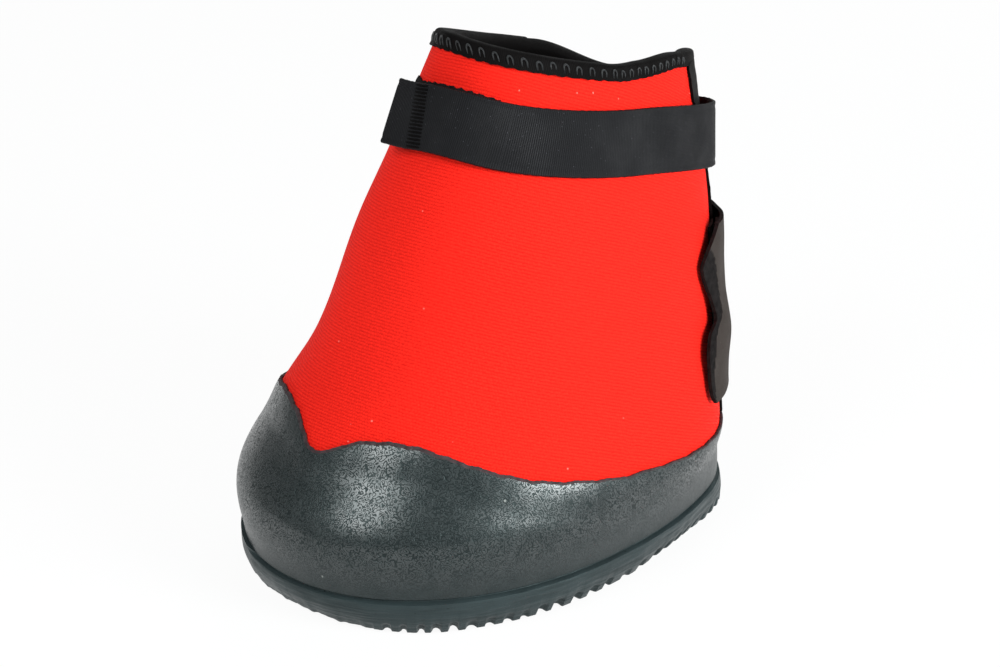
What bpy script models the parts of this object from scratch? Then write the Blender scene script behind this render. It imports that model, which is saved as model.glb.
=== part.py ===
"""Horse hoof boot: a rubber shell and sole with a neoprene upper, a heel flap,
an elastic collar strap and a hook-and-loop heel tab.

Frame: metres, +Z up, toe towards -Y, heel towards +Y. The boot stands on z = 0
under the middle of its plan. Angles round the boot are in degrees: 0 at the
toe, 90 on the +X side, 180 at the heel. A level is a height at the middle of
the boot; a level line tips up towards the toe near the collar. A depth is
measured out of the wall's outer face, so it is negative inside.
"""
import math
from collections import namedtuple

import bmesh
import bpy
import numpy as np
from mathutils import Vector

# Whole boot
SHELL_LENGTH = 0.2035
SHELL_WIDTH = 0.156
COLLAR_LENGTH = 0.106
COLLAR_WIDTH = 0.076
COLLAR_SETBACK = 0.0475
COLLAR_HEIGHT = 0.190
COLLAR_LEFT_DROP = 0.0078
COLLAR_PEAK = 0.005
FLAP_DIP = 0.0075
COLLAR_TILT = 16.0
TOE_EXPONENT = 2.1
HEEL_EXPONENT = 2.35

# Sole
SOLE_THICKNESS = 0.016
SOLE_PROUD = 0.0016
SOLE_UNDERCUT = 0.0022
TREAD_DEPTH = 0.003
LUG_DRAFT = 0.0007

# Shell
SHELL_WALL = 0.003
SHELL_EDGE = 0.0011
SHELL_EDGE_FADE = 0.012
SHELL_TUCK_DROP = 0.014
SHELL_PEAK_HEIGHT = 0.0672
SHELL_MARGIN_WIDTH = 0.015
SHELL_MARGIN_THICKNESS = 0.002

# Footbed
BOARD_THICKNESS = 0.0025
FOAM_THICKNESS = 0.007
FOAM_EDGE_RADIUS = 0.002

# Upper, flap and their bindings
NEOPRENE = 0.005
BINDING_THICKNESS = 0.001
BINDING_LEG = 0.0045
SLIT_GAP = 0.0008
HEM_GAP = 0.0024
HINGE_GAP = 0.0004
HINGE_PROUD = 0.0022

# Strap
STRAP_WIDTH = 0.025
STRAP_THICKNESS = 0.0015
STRAP_FRONT_ROOM = 0.010
STRAP_HEEL_ROOM = 0.0107
STRAP_HINGE_PROUD = 0.0008

# Closure tab
TAB_HEIGHT = 0.070
TAB_ROOM = 0.017
TAB_THICKNESS = 0.0015
TAB_CURL = 0.0018
TAB_HINGE_PROUD = 0.0024

# Hook and loop tapes
LOOP_THICKNESS = 0.001
HOOK_THICKNESS = 0.0014
TAPE_INSET = 0.0015

# Clearances
GAP = 0.0003
LAY_GAP = 0.0004

# Angles round the boot, degrees
COLUMN_STEP = 6.0
COLUMN_MARGIN_SHARE = 0.6
SLIT_ANGLE = 146.0
HINGE_ANGLE = -96.0
STRAP_END_ANGLE = -36.0
STRAP_FOLD_ANGLE = 12.0
STRAP_HINGE_ANGLE = 120.0
STRAP_SEWN_ANGLE = 201.0
LOOP_START_ANGLE = -32.0
LOOP_END_ANGLE = 24.0
TAB_FREE_ANGLE = 131.0
TAB_CURL_ANGLE = 7.0
TAB_HINGE_ANGLE = 155.0
TAB_SEWN_ANGLE = 183.0
LEFT_DROP_ANGLE = 110.0
PEAK_START_ANGLE = 78.0
PEAK_RUN_ANGLE = 35.0
FLAP_DIP_START_ANGLE = 110.0
FLAP_DIP_END_ANGLE = 200.0
FLAP_DIP_RUN_ANGLE = 42.0
DIP_START_ANGLE = 90.0
HINGE_SEARCH_ANGLE = 24.0

# Wall sections from the sole's top to just past the collar. Each row holds
# shares of height, of the run from collar width to shell width, of the same
# run in length, of the collar's setback and of its tilt.
SECTION_SHARES = (
    (0.0, 0.925, 0.975, 0.0, 0.0),
    (0.13, 1.0, 1.0, 0.0, 0.0),
    (0.24, 0.85, 0.84, 0.17, 0.12),
    (0.39, 0.65, 0.64, 0.42, 0.2),
    (0.64, 0.4, 0.42, 0.66, 0.44),
    (0.845, 0.175, 0.175, 0.86, 0.72),
    (1.0, 0.0, 0.0, 1.0, 1.0),
    (1.05, -0.0565, -0.0565, 1.045, 1.09),
)

# Top of the shell: angle from the toe, and share of the peak's height.
SHELL_RIM_SHARES = (
    (0.0, 0.887),
    (3.0, 0.893),
    (6.0, 0.922),
    (10.0, 0.958),
    (15.0, 0.985),
    (23.0, 1.0),
    (31.0, 0.992),
    (40.0, 0.955),
    (52.0, 0.89),
    (65.0, 0.818),
    (79.0, 0.76),
    (92.0, 0.702),
    (113.0, 0.626),
    (145.0, 0.555),
    (180.0, 0.567),
)

# Strap's inner face above the wall: angle, and share of its height over the
# hook tape, which is the highest it lies.
STRAP_LIFT_SHARES = (
    (-36.0, 1.0),
    (12.0, 1.0),
    (24.0, 0.62),
    (36.0, 0.28),
    (48.0, 0.14),
    (110.0, 0.14),
    (126.0, 0.5),
    (138.0, 1.15),
    (152.0, 1.15),
    (168.0, 0.5),
    (182.0, 0.2),
    (201.0, 0.14),
)

# Tab's inner face above the wall: angle, and share as for the strap.
TAB_LIFT_SHARES = (
    (131.0, 1.0),
    (142.0, 1.0),
    (150.0, 0.75),
    (162.0, 0.58),
    (174.0, 0.2),
    (183.0, 0.14),
)

# Sole's side from its top edge down: shares of its thickness above the tread,
# and of how far it stands proud, or is undercut where negative.
SOLE_SIDE_SHARES = ((1.0, 0.0), (0.92, 0.8), (0.5, 1.0), (0.22, 0.5), (0.0, -1.0))

# Rings of the tread, as shares of the way from the middle to the edge.
TREAD_RING_SHARES = (0.86, 0.79, 0.62, 0.55, 0.38, 0.31)
TREAD_LUG_RINGS = (0, 2, 4)
TREAD_STEPS = 160
TREAD_RUNS = (1, 2, 4)

Finish = namedtuple("Finish", "colour roughness")
RED_KNIT = Finish(colour=(0.85, 0.03, 0.015), roughness=0.8)
SHELL_RUBBER = Finish(colour=(0.03, 0.033, 0.033), roughness=0.42)
SOLE_RUBBER = Finish(colour=(0.045, 0.05, 0.055), roughness=0.62)
BINDING_TAPE = Finish(colour=(0.02, 0.018, 0.018), roughness=0.85)
WEBBING = Finish(colour=(0.03, 0.03, 0.034), roughness=0.55)
FUZZY_TAPE = Finish(colour=(0.02, 0.02, 0.022), roughness=0.95)
FIBRE_BOARD = Finish(colour=(0.32, 0.24, 0.16), roughness=0.85)
FELT = Finish(colour=(0.1, 0.09, 0.08), roughness=0.9)
FOAM = Finish(colour=(0.05, 0.05, 0.055), roughness=0.9)

SHELL_ROWS = (0.0, 0.22, 0.42, 0.6, 0.76, 0.9, 1.0)
UPPER_ROWS = 11
BAND_ROWS = 3
TAB_ROWS = 7
SLOPE_STEP_SHARE = 0.01
SLOPE_STEP = SLOPE_STEP_SHARE * COLLAR_HEIGHT
ANGLE_STEP = 0.5


def smooth_table(x, table):
    """Read a smooth curve through a table of (place, value) rows."""
    places = [row[0] for row in table]
    values = [row[1] for row in table]
    last = len(places) - 1
    if x <= places[0]:
        return values[0]
    if x >= places[last]:
        return values[last]
    i = max(k for k in range(last) if places[k] <= x)

    def slope(k):
        lo, hi = max(k - 1, 0), min(k + 1, last)
        return (values[hi] - values[lo]) / (places[hi] - places[lo])

    span = places[i + 1] - places[i]
    u = (x - places[i]) / span
    start = (2 * u ** 3 - 3 * u ** 2 + 1) * values[i] + (u ** 3 - 2 * u ** 2 + u) * span * slope(i)
    end = (3 * u ** 2 - 2 * u ** 3) * values[i + 1] + (u ** 3 - u ** 2) * span * slope(i + 1)
    return start + end


def ease(share):
    """Smooth step from 0 to 1."""
    share = min(max(share, 0.0), 1.0)
    return share * share * (3 - 2 * share)


def section_at(level):
    """Half-width, half-length, middle and tilt of the wall's section at a level."""
    share = (level - SOLE_THICKNESS) / (COLLAR_HEIGHT - SOLE_THICKNESS)
    wide, long, back, tip = (
        smooth_table(share, [(row[0], row[k]) for row in SECTION_SHARES]) for k in range(1, 5)
    )
    half_width = (COLLAR_WIDTH + (SHELL_WIDTH - COLLAR_WIDTH) * wide) / 2
    half_length = (COLLAR_LENGTH + (SHELL_LENGTH - COLLAR_LENGTH) * long) / 2
    return half_width, half_length, COLLAR_SETBACK * back, math.tan(math.radians(COLLAR_TILT * tip))


def wall_point(angle, level):
    """A point of the wall's outer face."""
    half_width, half_length, middle, tip = section_at(level)
    s, c = math.sin(math.radians(angle)), math.cos(math.radians(angle))
    power = 2 / (TOE_EXPONENT if c > 0 else HEEL_EXPONENT)
    x = half_width * math.copysign(abs(s) ** power, s)
    run = -half_length * math.copysign(abs(c) ** power, c)
    return np.array((x, middle + run, level - run * tip))


def wall_slopes(angle, level):
    """Steps of the wall per degree and per metre of level."""
    around = wall_point(angle + ANGLE_STEP, level) - wall_point(angle - ANGLE_STEP, level)
    up = wall_point(angle, level + SLOPE_STEP) - wall_point(angle, level - SLOPE_STEP)
    return around / (2 * ANGLE_STEP), up / (2 * SLOPE_STEP)


def layer_point(angle, level, depth):
    """A point at a depth out of the wall's outer face."""
    around, up = wall_slopes(angle, level)
    normal = np.cross(around, up)
    return wall_point(angle, level) + normal / np.linalg.norm(normal) * depth


def degrees_for(distance, angle, level):
    """Degrees round the wall that a distance along it takes."""
    return distance / np.linalg.norm(wall_slopes(angle, level)[0])


def levels_for(distance, angle, level):
    """Change of level that a distance up the wall takes."""
    return distance / np.linalg.norm(wall_slopes(angle, level)[1])


def from_toe(angle):
    """Angle from the toe, 0 to 180, whichever way round."""
    return abs((angle + 180.0) % 360.0 - 180.0)


def rim_level(angle):
    """Top of the rubber shell."""
    return SHELL_PEAK_HEIGHT * smooth_table(from_toe(angle), SHELL_RIM_SHARES)


def dropped_collar(turned):
    """Top edge of the neoprene, under its binding, some way round to the left."""
    edge = COLLAR_HEIGHT - GAP - BINDING_THICKNESS
    return edge - COLLAR_LEFT_DROP * ease(turned / LEFT_DROP_ANGLE)


def collar_level(angle):
    """Top edge of the upper's neoprene, lower on the left and peaked at the slit."""
    peak = COLLAR_PEAK * ease((angle - PEAK_START_ANGLE) / PEAK_RUN_ANGLE)
    return dropped_collar(-angle) + peak


def flap_collar(angle):
    """Top edge of the flap's neoprene, with a dip, also where angles count past the heel."""
    turned = 360.0 - angle if angle > 0 else -angle
    fall = ease((turned - FLAP_DIP_START_ANGLE) / FLAP_DIP_RUN_ANGLE)
    rise = ease((FLAP_DIP_END_ANGLE - turned) / FLAP_DIP_RUN_ANGLE)
    return dropped_collar(turned) - FLAP_DIP * fall * rise


def tuck(angle, level):
    """How far the neoprene is set in to lie inside the shell."""
    below = (rim_level(angle) - level) / SHELL_TUCK_DROP
    return (SHELL_WALL + GAP) * ease(below)


def columns(start, end, span=None):
    """Angles from start to end, on the whole steps well inside them.

    Where rows of one piece end at unlike angles, span gives the one pair that
    sets the steps between for them all.
    """
    low, high = span or (start, end)
    first = math.ceil(low / COLUMN_STEP + COLUMN_MARGIN_SHARE)
    last = math.floor(high / COLUMN_STEP - COLUMN_MARGIN_SHARE)
    return [start] + [k * COLUMN_STEP for k in range(first, last + 1)] + [end]


def make_object(name, bm, finish, pivot):
    """Make a named object from a mesh, with its own material, about its pivot."""
    mesh = bpy.data.meshes.new(name)
    bmesh.ops.remove_doubles(bm, verts=bm.verts, dist=GAP / 100)
    bmesh.ops.translate(bm, verts=bm.verts, vec=-pivot.matrix_world.translation)
    bmesh.ops.recalc_face_normals(bm, faces=bm.faces)
    bm.to_mesh(mesh)
    bm.free()
    mesh.shade_smooth()
    mesh.set_sharp_from_angle(angle=math.radians(40))
    material = bpy.data.materials.new(name)
    material.use_nodes = True
    shader = material.node_tree.nodes["Principled BSDF"]
    shader.inputs["Base Color"].default_value = (*finish.colour, 1.0)
    shader.inputs["Roughness"].default_value = finish.roughness
    shader.inputs["Metallic"].default_value = 0.0
    mesh.materials.append(material)
    obj = bpy.data.objects.new(name, mesh)
    bpy.context.collection.objects.link(obj)
    obj.parent = pivot
    return obj


def ladder_mesh(outer, inner, closed):
    """Closed solid between two grids of the same size, column by column.

    Each column of outer and inner holds the same number of points. A closed
    solid joins its last column to its first; an open one is capped there.
    """
    bm = bmesh.new()
    grids = [[[bm.verts.new(p) for p in column] for column in grid] for grid in (outer, inner)]
    out, inn = grids
    count = len(out)
    rows = len(out[0])

    def quad(a, b, c, d):
        bm.faces.new((a, b, c))
        bm.faces.new((a, c, d))

    for j in range(count if closed else count - 1):
        k = (j + 1) % count
        for i in range(rows - 1):
            quad(out[j][i], out[k][i], out[k][i + 1], out[j][i + 1])
            quad(inn[j][i], inn[j][i + 1], inn[k][i + 1], inn[k][i])
        quad(out[j][0], inn[j][0], inn[k][0], out[k][0])
        quad(out[j][-1], out[k][-1], inn[k][-1], inn[j][-1])
    if not closed:
        for i in range(rows - 1):
            quad(out[0][i], out[0][i + 1], inn[0][i + 1], inn[0][i])
            quad(out[-1][i], inn[-1][i], inn[-1][i + 1], out[-1][i + 1])
    return bm


def plate_mesh(outlines):
    """Closed plate through outlines stacked from the bottom up."""
    bm = bmesh.new()
    rings = [[bm.verts.new(p) for p in outline] for outline in outlines]
    count = len(rings[0])
    for low, high in zip(rings, rings[1:]):
        for j in range(count):
            k = (j + 1) % count
            bm.faces.new((low[j], low[k], high[k], high[j]))
    bm.faces.new(list(reversed(rings[0])))
    bm.faces.new(rings[-1])
    bmesh.ops.triangulate(bm, faces=[f for f in bm.faces if len(f.verts) > 4])
    return bm


def make_pivot(name, place, parent=None):
    """An empty on a joint's axis, which carries the pieces that turn there."""
    pivot = bpy.data.objects.new(name, None)
    bpy.context.collection.objects.link(pivot)
    offset = parent.matrix_world.translation if parent else Vector()
    pivot.parent = parent
    pivot.location = Vector(place) - offset
    bpy.context.view_layer.update()
    return pivot


def sole_outline(level_offset, height, steps):
    """Outline of the sole, set out from the wall's lowest section."""
    points = []
    for k in range(steps):
        angle = 360.0 * k / steps
        point = layer_point(angle, SOLE_THICKNESS, level_offset)
        points.append((point[0], point[1], height))
    return points


def toward_middle(point, share, height):
    """A point of the tread between the sole's middle and its edge."""
    return (point[0] * share, point[1] * share, height)


def sole_offset(share):
    """How far the sole's side stands out of, or in from, the wall's foot."""
    return SOLE_PROUD * share if share > 0 else SOLE_UNDERCUT * share


def make_outsole(pivot):
    """Sole with a proud side band and rings of lugs under it."""
    bm = bmesh.new()
    above_tread = SOLE_THICKNESS - TREAD_DEPTH
    rings = []
    for up, out in SOLE_SIDE_SHARES:
        outline = sole_outline(sole_offset(out), TREAD_DEPTH + above_tread * up, TREAD_STEPS)
        rings.append([bm.verts.new(p) for p in outline])
    edge = [v.co.copy() for v in rings[-1]]
    for share in TREAD_RING_SHARES:
        rings.append([bm.verts.new(toward_middle(p, share, TREAD_DEPTH)) for p in edge])
    bm.faces.new(rings[0])
    bands = []
    for high, low in zip(rings, rings[1:]):
        band = []
        for j in range(TREAD_STEPS):
            k = (j + 1) % TREAD_STEPS
            band.append(bm.faces.new((high[j], low[j], low[k], high[k])))
        bands.append(band)
    middle = bm.faces.new(list(reversed(rings[-1])))
    tread_bands = bands[len(SOLE_SIDE_SHARES) - 1:]
    lugs = [[middle]]
    for ring, run in zip(TREAD_LUG_RINGS, TREAD_RUNS):
        band = tread_bands[ring]
        for j in range(0, TREAD_STEPS, 2 * run):
            lugs.append(band[j:j + run])
    for faces in lugs:
        drop_lug(bm, faces)
    bmesh.ops.triangulate(bm, faces=[f for f in bm.faces if len(f.verts) > 4])
    make_object("outsole", bm, SOLE_RUBBER, pivot)


def drop_lug(bm, faces):
    """Pull a patch of the tread down to the ground, slightly narrower there."""
    grown = bmesh.ops.extrude_face_region(bm, geom=faces)["geom"]
    bmesh.ops.delete(bm, geom=faces, context="FACES_ONLY")
    verts = [g for g in grown if isinstance(g, bmesh.types.BMVert)]
    middle = sum((v.co for v in verts), Vector()) / len(verts)
    for v in verts:
        inward = Vector((middle.x - v.co.x, middle.y - v.co.y, 0.0))
        if inward.length > LUG_DRAFT:
            v.co += inward.normalized() * LUG_DRAFT
        v.co.z = 0.0


def buried_level(angle, share):
    """Level of a row of the upper inside the shell, from its foot to the rim."""
    foot = SOLE_THICKNESS + SHELL_MARGIN_THICKNESS + 2 * GAP
    return foot + (rim_level(angle) - foot) * share


def shell_column(angle):
    """Outer and inner edge of the shell's section, from its margin to its rim."""
    foot = SOLE_THICKNESS + GAP
    margin_top = foot + SHELL_MARGIN_THICKNESS
    rim = rim_level(angle)
    turned = layer_point(angle, foot, -SHELL_WALL - SHELL_MARGIN_WIDTH)
    outer = [(turned[0], turned[1], foot)]
    inner = [(turned[0], turned[1], margin_top)]
    for share in SHELL_ROWS:
        out_level = foot + (rim - foot) * share
        in_level = margin_top if share == 0 else buried_level(angle, share)
        fade = 1 - ease((rim - out_level) / SHELL_EDGE_FADE)
        outer.append(layer_point(angle, out_level, (GAP + SHELL_EDGE) * fade))
        inner.append(layer_point(angle, in_level, GAP - tuck(angle, in_level)))
    return outer, inner


def make_shell(pivot):
    """Rubber shell with a notched toe and a margin turned in under the board."""
    steps = round(360.0 / COLUMN_STEP)
    pairs = [shell_column(COLUMN_STEP * k) for k in range(steps)]
    bm = ladder_mesh([p[0] for p in pairs], [p[1] for p in pairs], True)
    make_object("rubber_shell", bm, SHELL_RUBBER, pivot)


def inside_outline(inset, height):
    """Outline inside the wall's foot at a height, set in by an amount."""
    steps = round(360.0 / COLUMN_STEP)
    points = [layer_point(COLUMN_STEP * k, SOLE_THICKNESS, -inset) for k in range(steps)]
    return [(p[0], p[1], height) for p in points]


def make_footbed(pivot):
    """Bottom filler, insole board and foam insole, from the sole up."""
    filler_low = SOLE_THICKNESS + GAP
    filler_high = filler_low + SHELL_MARGIN_THICKNESS
    board_low = filler_high + GAP
    board_high = board_low + BOARD_THICKNESS
    foam_low = board_high + GAP
    foam_high = foam_low + FOAM_THICKNESS
    filler_inset = SHELL_WALL + SHELL_MARGIN_WIDTH + GAP
    inset = SHELL_WALL + NEOPRENE + 3 * GAP
    filler = [inside_outline(filler_inset, z) for z in (filler_low, filler_high)]
    make_object("bottom_filler", plate_mesh(filler), FELT, pivot)
    board = [inside_outline(inset, z) for z in (board_low, board_high)]
    make_object("insole_board", plate_mesh(board), FIBRE_BOARD, pivot)
    foam = [inside_outline(inset, z) for z in (foam_low, foam_high - FOAM_EDGE_RADIUS)]
    foam.append(inside_outline(inset + FOAM_EDGE_RADIUS, foam_high))
    make_object("foam_insole", plate_mesh(foam), FOAM, pivot)


def hinge_line():
    """Two points of the axis on which the heel flap swings."""
    low = layer_point(HINGE_ANGLE, rim_level(HINGE_ANGLE), HINGE_PROUD)
    high = layer_point(HINGE_ANGLE, collar_level(HINGE_ANGLE), HINGE_PROUD)
    return low, high


def hinge_angle_at(level_of):
    """Angle at which a row of the wall meets the plane of the flap's hinge.

    The plane holds the hinge line and the X direction, so that the flap's edge
    leaves the panel's edge as it turns. level_of gives the row's level at an
    angle.
    """
    low, high = hinge_line()
    normal = np.cross(high - low, np.array((1.0, 0.0, 0.0)))

    def side(angle):
        return float((wall_point(angle, level_of(angle)) - low) @ normal)

    a, b = HINGE_ANGLE - HINGE_SEARCH_ANGLE, HINGE_ANGLE + HINGE_SEARCH_ANGLE
    rising = side(b) > side(a)
    for _ in range(40):
        middle = (a + b) / 2
        if (side(middle) > 0) == rising:
            b = middle
        else:
            a = middle
    return (a + b) / 2


def panel_row_level(row):
    """Function giving the level of a row of the upper at an angle."""
    buried = len(SHELL_ROWS) - 1
    if row <= buried:
        return lambda angle: buried_level(angle, SHELL_ROWS[row])
    share = (row - buried) / (UPPER_ROWS - 1)
    return lambda angle: rim_level(angle) + (collar_level(angle) - rim_level(angle)) * share


def wall_band(rows, ends, outer_depth, inner_depth, span=None):
    """Grids for a piece of wall.

    rows are functions from angle to level, and ends gives, for a row, the
    angles between which it runs. Depths are functions of angle and level, and
    span is as for columns.
    """
    outer, inner = [], []
    for row in rows:
        start, end = ends(row)
        angles = columns(start, end, span)
        outer.append([layer_point(a, row(a), outer_depth(a, row(a))) for a in angles])
        inner.append([layer_point(a, row(a), inner_depth(a, row(a))) for a in angles])
    turn = lambda grid: [list(column) for column in zip(*grid)]
    return turn(outer), turn(inner)


PANEL_SPAN = (HINGE_ANGLE, SLIT_ANGLE)
HEEL_SPAN = (SLIT_ANGLE, 360.0 + HINGE_ANGLE)
FLAP_SPAN = (SLIT_ANGLE + COLUMN_STEP / 2, 360.0 + HINGE_ANGLE)


def neoprene_outer(angle, level):
    """Depth of the neoprene's outer face."""
    return -tuck(angle, level)


def neoprene_inner(angle, level):
    """Depth of the neoprene's inner face."""
    return -tuck(angle, level) - NEOPRENE


def flap_edge_angle(level):
    """Angle of the flap's neoprene edge at the slit."""
    room = 2 * (GAP + BINDING_THICKNESS) + SLIT_GAP
    return SLIT_ANGLE + degrees_for(room, SLIT_ANGLE, level)


def hinge_gap_angle(angle, level):
    """Half the gap at the flap's hinge, in degrees."""
    return degrees_for(HINGE_GAP / 2, angle, level)


def panel_ends(row):
    """Angles of the upper's two upright edges on a row."""
    hinge = hinge_angle_at(row)
    return hinge + hinge_gap_angle(hinge, row(hinge)), SLIT_ANGLE


def flap_ends(row):
    """Angles of the flap's two upright edges on a row, counted past the heel."""
    hinge = hinge_angle_at(row)
    return flap_edge_angle(row(SLIT_ANGLE)), 360.0 + hinge - hinge_gap_angle(hinge, row(hinge))


def hem_level(angle):
    """Lower edge of the flap's neoprene."""
    return rim_level(angle) + HEM_GAP + GAP + BINDING_THICKNESS


def flap_row_level(row):
    """Function giving the level of a row of the flap at an angle."""
    share = row / (UPPER_ROWS - 1)
    return lambda angle: hem_level(angle) + (flap_collar(angle) - hem_level(angle)) * share


def make_upper(pivot):
    """Red neoprene upper, from the flap's hinge round the toe to the slit."""
    count = len(SHELL_ROWS) + UPPER_ROWS - 1
    rows = [panel_row_level(k) for k in range(count)]
    outer, inner = wall_band(rows, panel_ends, neoprene_outer, neoprene_inner, PANEL_SPAN)
    make_object("upper_panel", ladder_mesh(outer, inner, False), RED_KNIT, pivot)


def make_lower_heel(pivot):
    """The neoprene that lies inside the shell under the flap."""
    rows = [panel_row_level(k) for k in range(len(SHELL_ROWS))]

    def ends(row):
        hinge = hinge_angle_at(row)
        start = SLIT_ANGLE + degrees_for(LAY_GAP, SLIT_ANGLE, row(SLIT_ANGLE))
        return start, 360.0 + hinge - hinge_gap_angle(hinge, row(hinge))

    outer, inner = wall_band(rows, ends, neoprene_outer, neoprene_inner, HEEL_SPAN)
    make_object("lower_heel_panel", ladder_mesh(outer, inner, False), RED_KNIT, pivot)


def make_flap(pivot):
    """Red neoprene heel flap."""
    rows = [flap_row_level(k) for k in range(UPPER_ROWS)]
    outer, inner = wall_band(rows, flap_ends, lambda a, z: 0.0, lambda a, z: -NEOPRENE, FLAP_SPAN)
    make_object("heel_flap_panel", ladder_mesh(outer, inner, False), RED_KNIT, pivot)


def binding_profile():
    """Section of a binding folded over an edge.

    Pairs of (distance past the edge, depth), outer line then inner line, from
    the end of the outer leg round to the end of the inner one.
    """
    clear = GAP
    full = GAP + BINDING_THICKNESS
    back = -NEOPRENE
    half = BINDING_THICKNESS / 2
    outer = [
        (-BINDING_LEG, full),
        (half, full),
        (full, half),
        (full, back - half),
        (half, back - full),
        (-BINDING_LEG, back - full),
    ]
    inner = [
        (-BINDING_LEG, clear),
        (clear / 2, clear),
        (clear, clear / 2),
        (clear, back - clear / 2),
        (clear / 2, back - clear),
        (-BINDING_LEG, back - clear),
    ]
    return outer, inner


def level_binding(name, angles, edge, side, pivot):
    """Binding along an upper (side 1) or a lower (side -1) edge."""
    profile = binding_profile()
    grids = []
    for line in profile:
        grid = []
        for angle in angles:
            level = edge(angle)
            rise = levels_for(side, angle, level)
            grid.append([layer_point(angle, level + rise * past, depth) for past, depth in line])
        grids.append(grid)
    make_object(name, ladder_mesh(grids[0], grids[1], False), BINDING_TAPE, pivot)


def upright_binding(name, levels, edge, side, pivot):
    """Binding down an upright edge that faces rising (1) or falling (-1) angles."""
    grids = []
    for line in binding_profile():
        grid = []
        for level in levels:
            angle = edge(level)
            turn = degrees_for(side, angle, level)
            grid.append([layer_point(angle + turn * past, level, depth) for past, depth in line])
        grids.append(grid)
    make_object(name, ladder_mesh(grids[0], grids[1], False), BINDING_TAPE, pivot)


def spread(low, high, count):
    """Evenly spaced values, both ends included."""
    return [low + (high - low) * k / (count - 1) for k in range(count)]


def make_boot_bindings(pivot):
    """Bindings on the upper's collar and on its edge at the slit."""
    cover = degrees_for(GAP + BINDING_THICKNESS, SLIT_ANGLE, collar_level(SLIT_ANGLE))
    hinge = hinge_angle_at(collar_level)
    start = hinge + hinge_gap_angle(hinge, collar_level(hinge))
    angles = columns(start, SLIT_ANGLE + cover, PANEL_SPAN)
    level_binding("collar_binding", angles, collar_level, 1, pivot)
    top = collar_level(SLIT_ANGLE)
    high = top - levels_for(BINDING_LEG + LAY_GAP, SLIT_ANGLE, top)
    low = rim_level(SLIT_ANGLE) + LAY_GAP + GAP
    levels = spread(low, high, UPPER_ROWS)
    upright_binding("slit_edge_binding", levels, lambda level: SLIT_ANGLE, 1, pivot)


def make_flap_bindings(pivot):
    """Bindings on the flap's collar, its edge at the slit and its hem."""
    for name, edge, side in (
        ("flap_collar_binding", flap_collar, 1),
        ("flap_hem_binding", hem_level, -1),
    ):
        hinge = hinge_angle_at(edge)
        start = flap_edge_angle(edge(SLIT_ANGLE))
        cover = degrees_for(GAP + BINDING_THICKNESS, start, edge(start))
        end = 360.0 + hinge - hinge_gap_angle(hinge, edge(hinge))
        level_binding(name, columns(start - cover, end, FLAP_SPAN), edge, side, pivot)
    edge_angle = flap_edge_angle(tab_middle())
    top, bottom = flap_collar(edge_angle), hem_level(edge_angle)
    high = top - levels_for(BINDING_LEG + LAY_GAP, edge_angle, top)
    low = bottom + levels_for(BINDING_LEG + LAY_GAP, edge_angle, bottom)
    levels = spread(low, high, UPPER_ROWS)
    upright_binding("flap_edge_binding", levels, flap_edge_angle, -1, pivot)


def tape_lift():
    """Height of a webbing's inner face where it lies on hook and loop tapes."""
    return LAY_GAP + LOOP_THICKNESS + LAY_GAP + HOOK_THICKNESS + LAY_GAP


def strap_level(angle):
    """Middle of the strap, below the bindings, which dips towards the heel."""
    binding_foot = COLLAR_HEIGHT - BINDING_LEG
    front = binding_foot - STRAP_FRONT_ROOM - STRAP_WIDTH / 2
    heel = binding_foot - COLLAR_LEFT_DROP - STRAP_HEEL_ROOM - STRAP_WIDTH / 2
    return front + (heel - front) * ease((angle - DIP_START_ANGLE) / DIP_START_ANGLE)


def strap_lift(angle):
    """Height of the strap's inner face above the wall."""
    return tape_lift() * smooth_table(angle, STRAP_LIFT_SHARES)


def strap_rows(width):
    """Rows of a band of a width along the strap's middle."""
    rows = []
    for offset in spread(-width / 2, width / 2, BAND_ROWS):
        rows.append(lambda angle, d=offset: strap_level(angle) + levels_for(d, angle, strap_level(angle)))
    return rows


def make_band(name, rows, ends, lift, thickness, finish, pivot):
    """A tape or webbing that lies on the wall at a height."""
    outer, inner = wall_band(rows, ends, lambda a, z: lift(a) + thickness, lambda a, z: lift(a))
    make_object(name, ladder_mesh(outer, inner, False), finish, pivot)


def half_gap(angle, level):
    """Half a lay gap, in degrees."""
    return degrees_for(LAY_GAP / 2, angle, level)


def make_strap(boot, flap, strap, strap_tip):
    """Collar strap: sewn end, run, free end and its hook and loop tapes."""
    rows = strap_rows(STRAP_WIDTH)
    at_hinge = half_gap(STRAP_HINGE_ANGLE, strap_level(STRAP_HINGE_ANGLE))
    at_fold = half_gap(STRAP_FOLD_ANGLE, strap_level(STRAP_FOLD_ANGLE))
    make_band("strap_anchor", rows, lambda row: (STRAP_HINGE_ANGLE + at_hinge, STRAP_SEWN_ANGLE),
              strap_lift, STRAP_THICKNESS, WEBBING, flap)
    make_band("strap_run", rows,
              lambda row: (STRAP_FOLD_ANGLE + at_fold, STRAP_HINGE_ANGLE - at_hinge),
              strap_lift, STRAP_THICKNESS, WEBBING, strap)
    make_band("strap_end", rows, lambda row: (STRAP_END_ANGLE, STRAP_FOLD_ANGLE - at_fold),
              strap_lift, STRAP_THICKNESS, WEBBING, strap_tip)
    tape_rows = strap_rows(STRAP_WIDTH - 2 * TAPE_INSET)
    inset = degrees_for(TAPE_INSET, STRAP_END_ANGLE, strap_level(STRAP_END_ANGLE))
    hook_lift = LAY_GAP + LOOP_THICKNESS + LAY_GAP
    make_band("strap_hook_tape", tape_rows,
              lambda row: (STRAP_END_ANGLE + inset, STRAP_FOLD_ANGLE - inset),
              lambda a: hook_lift, HOOK_THICKNESS, FUZZY_TAPE, strap_tip)
    make_band("strap_loop_pad", rows, lambda row: (LOOP_START_ANGLE, LOOP_END_ANGLE),
              lambda a: LAY_GAP, LOOP_THICKNESS, FUZZY_TAPE, boot)


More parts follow.
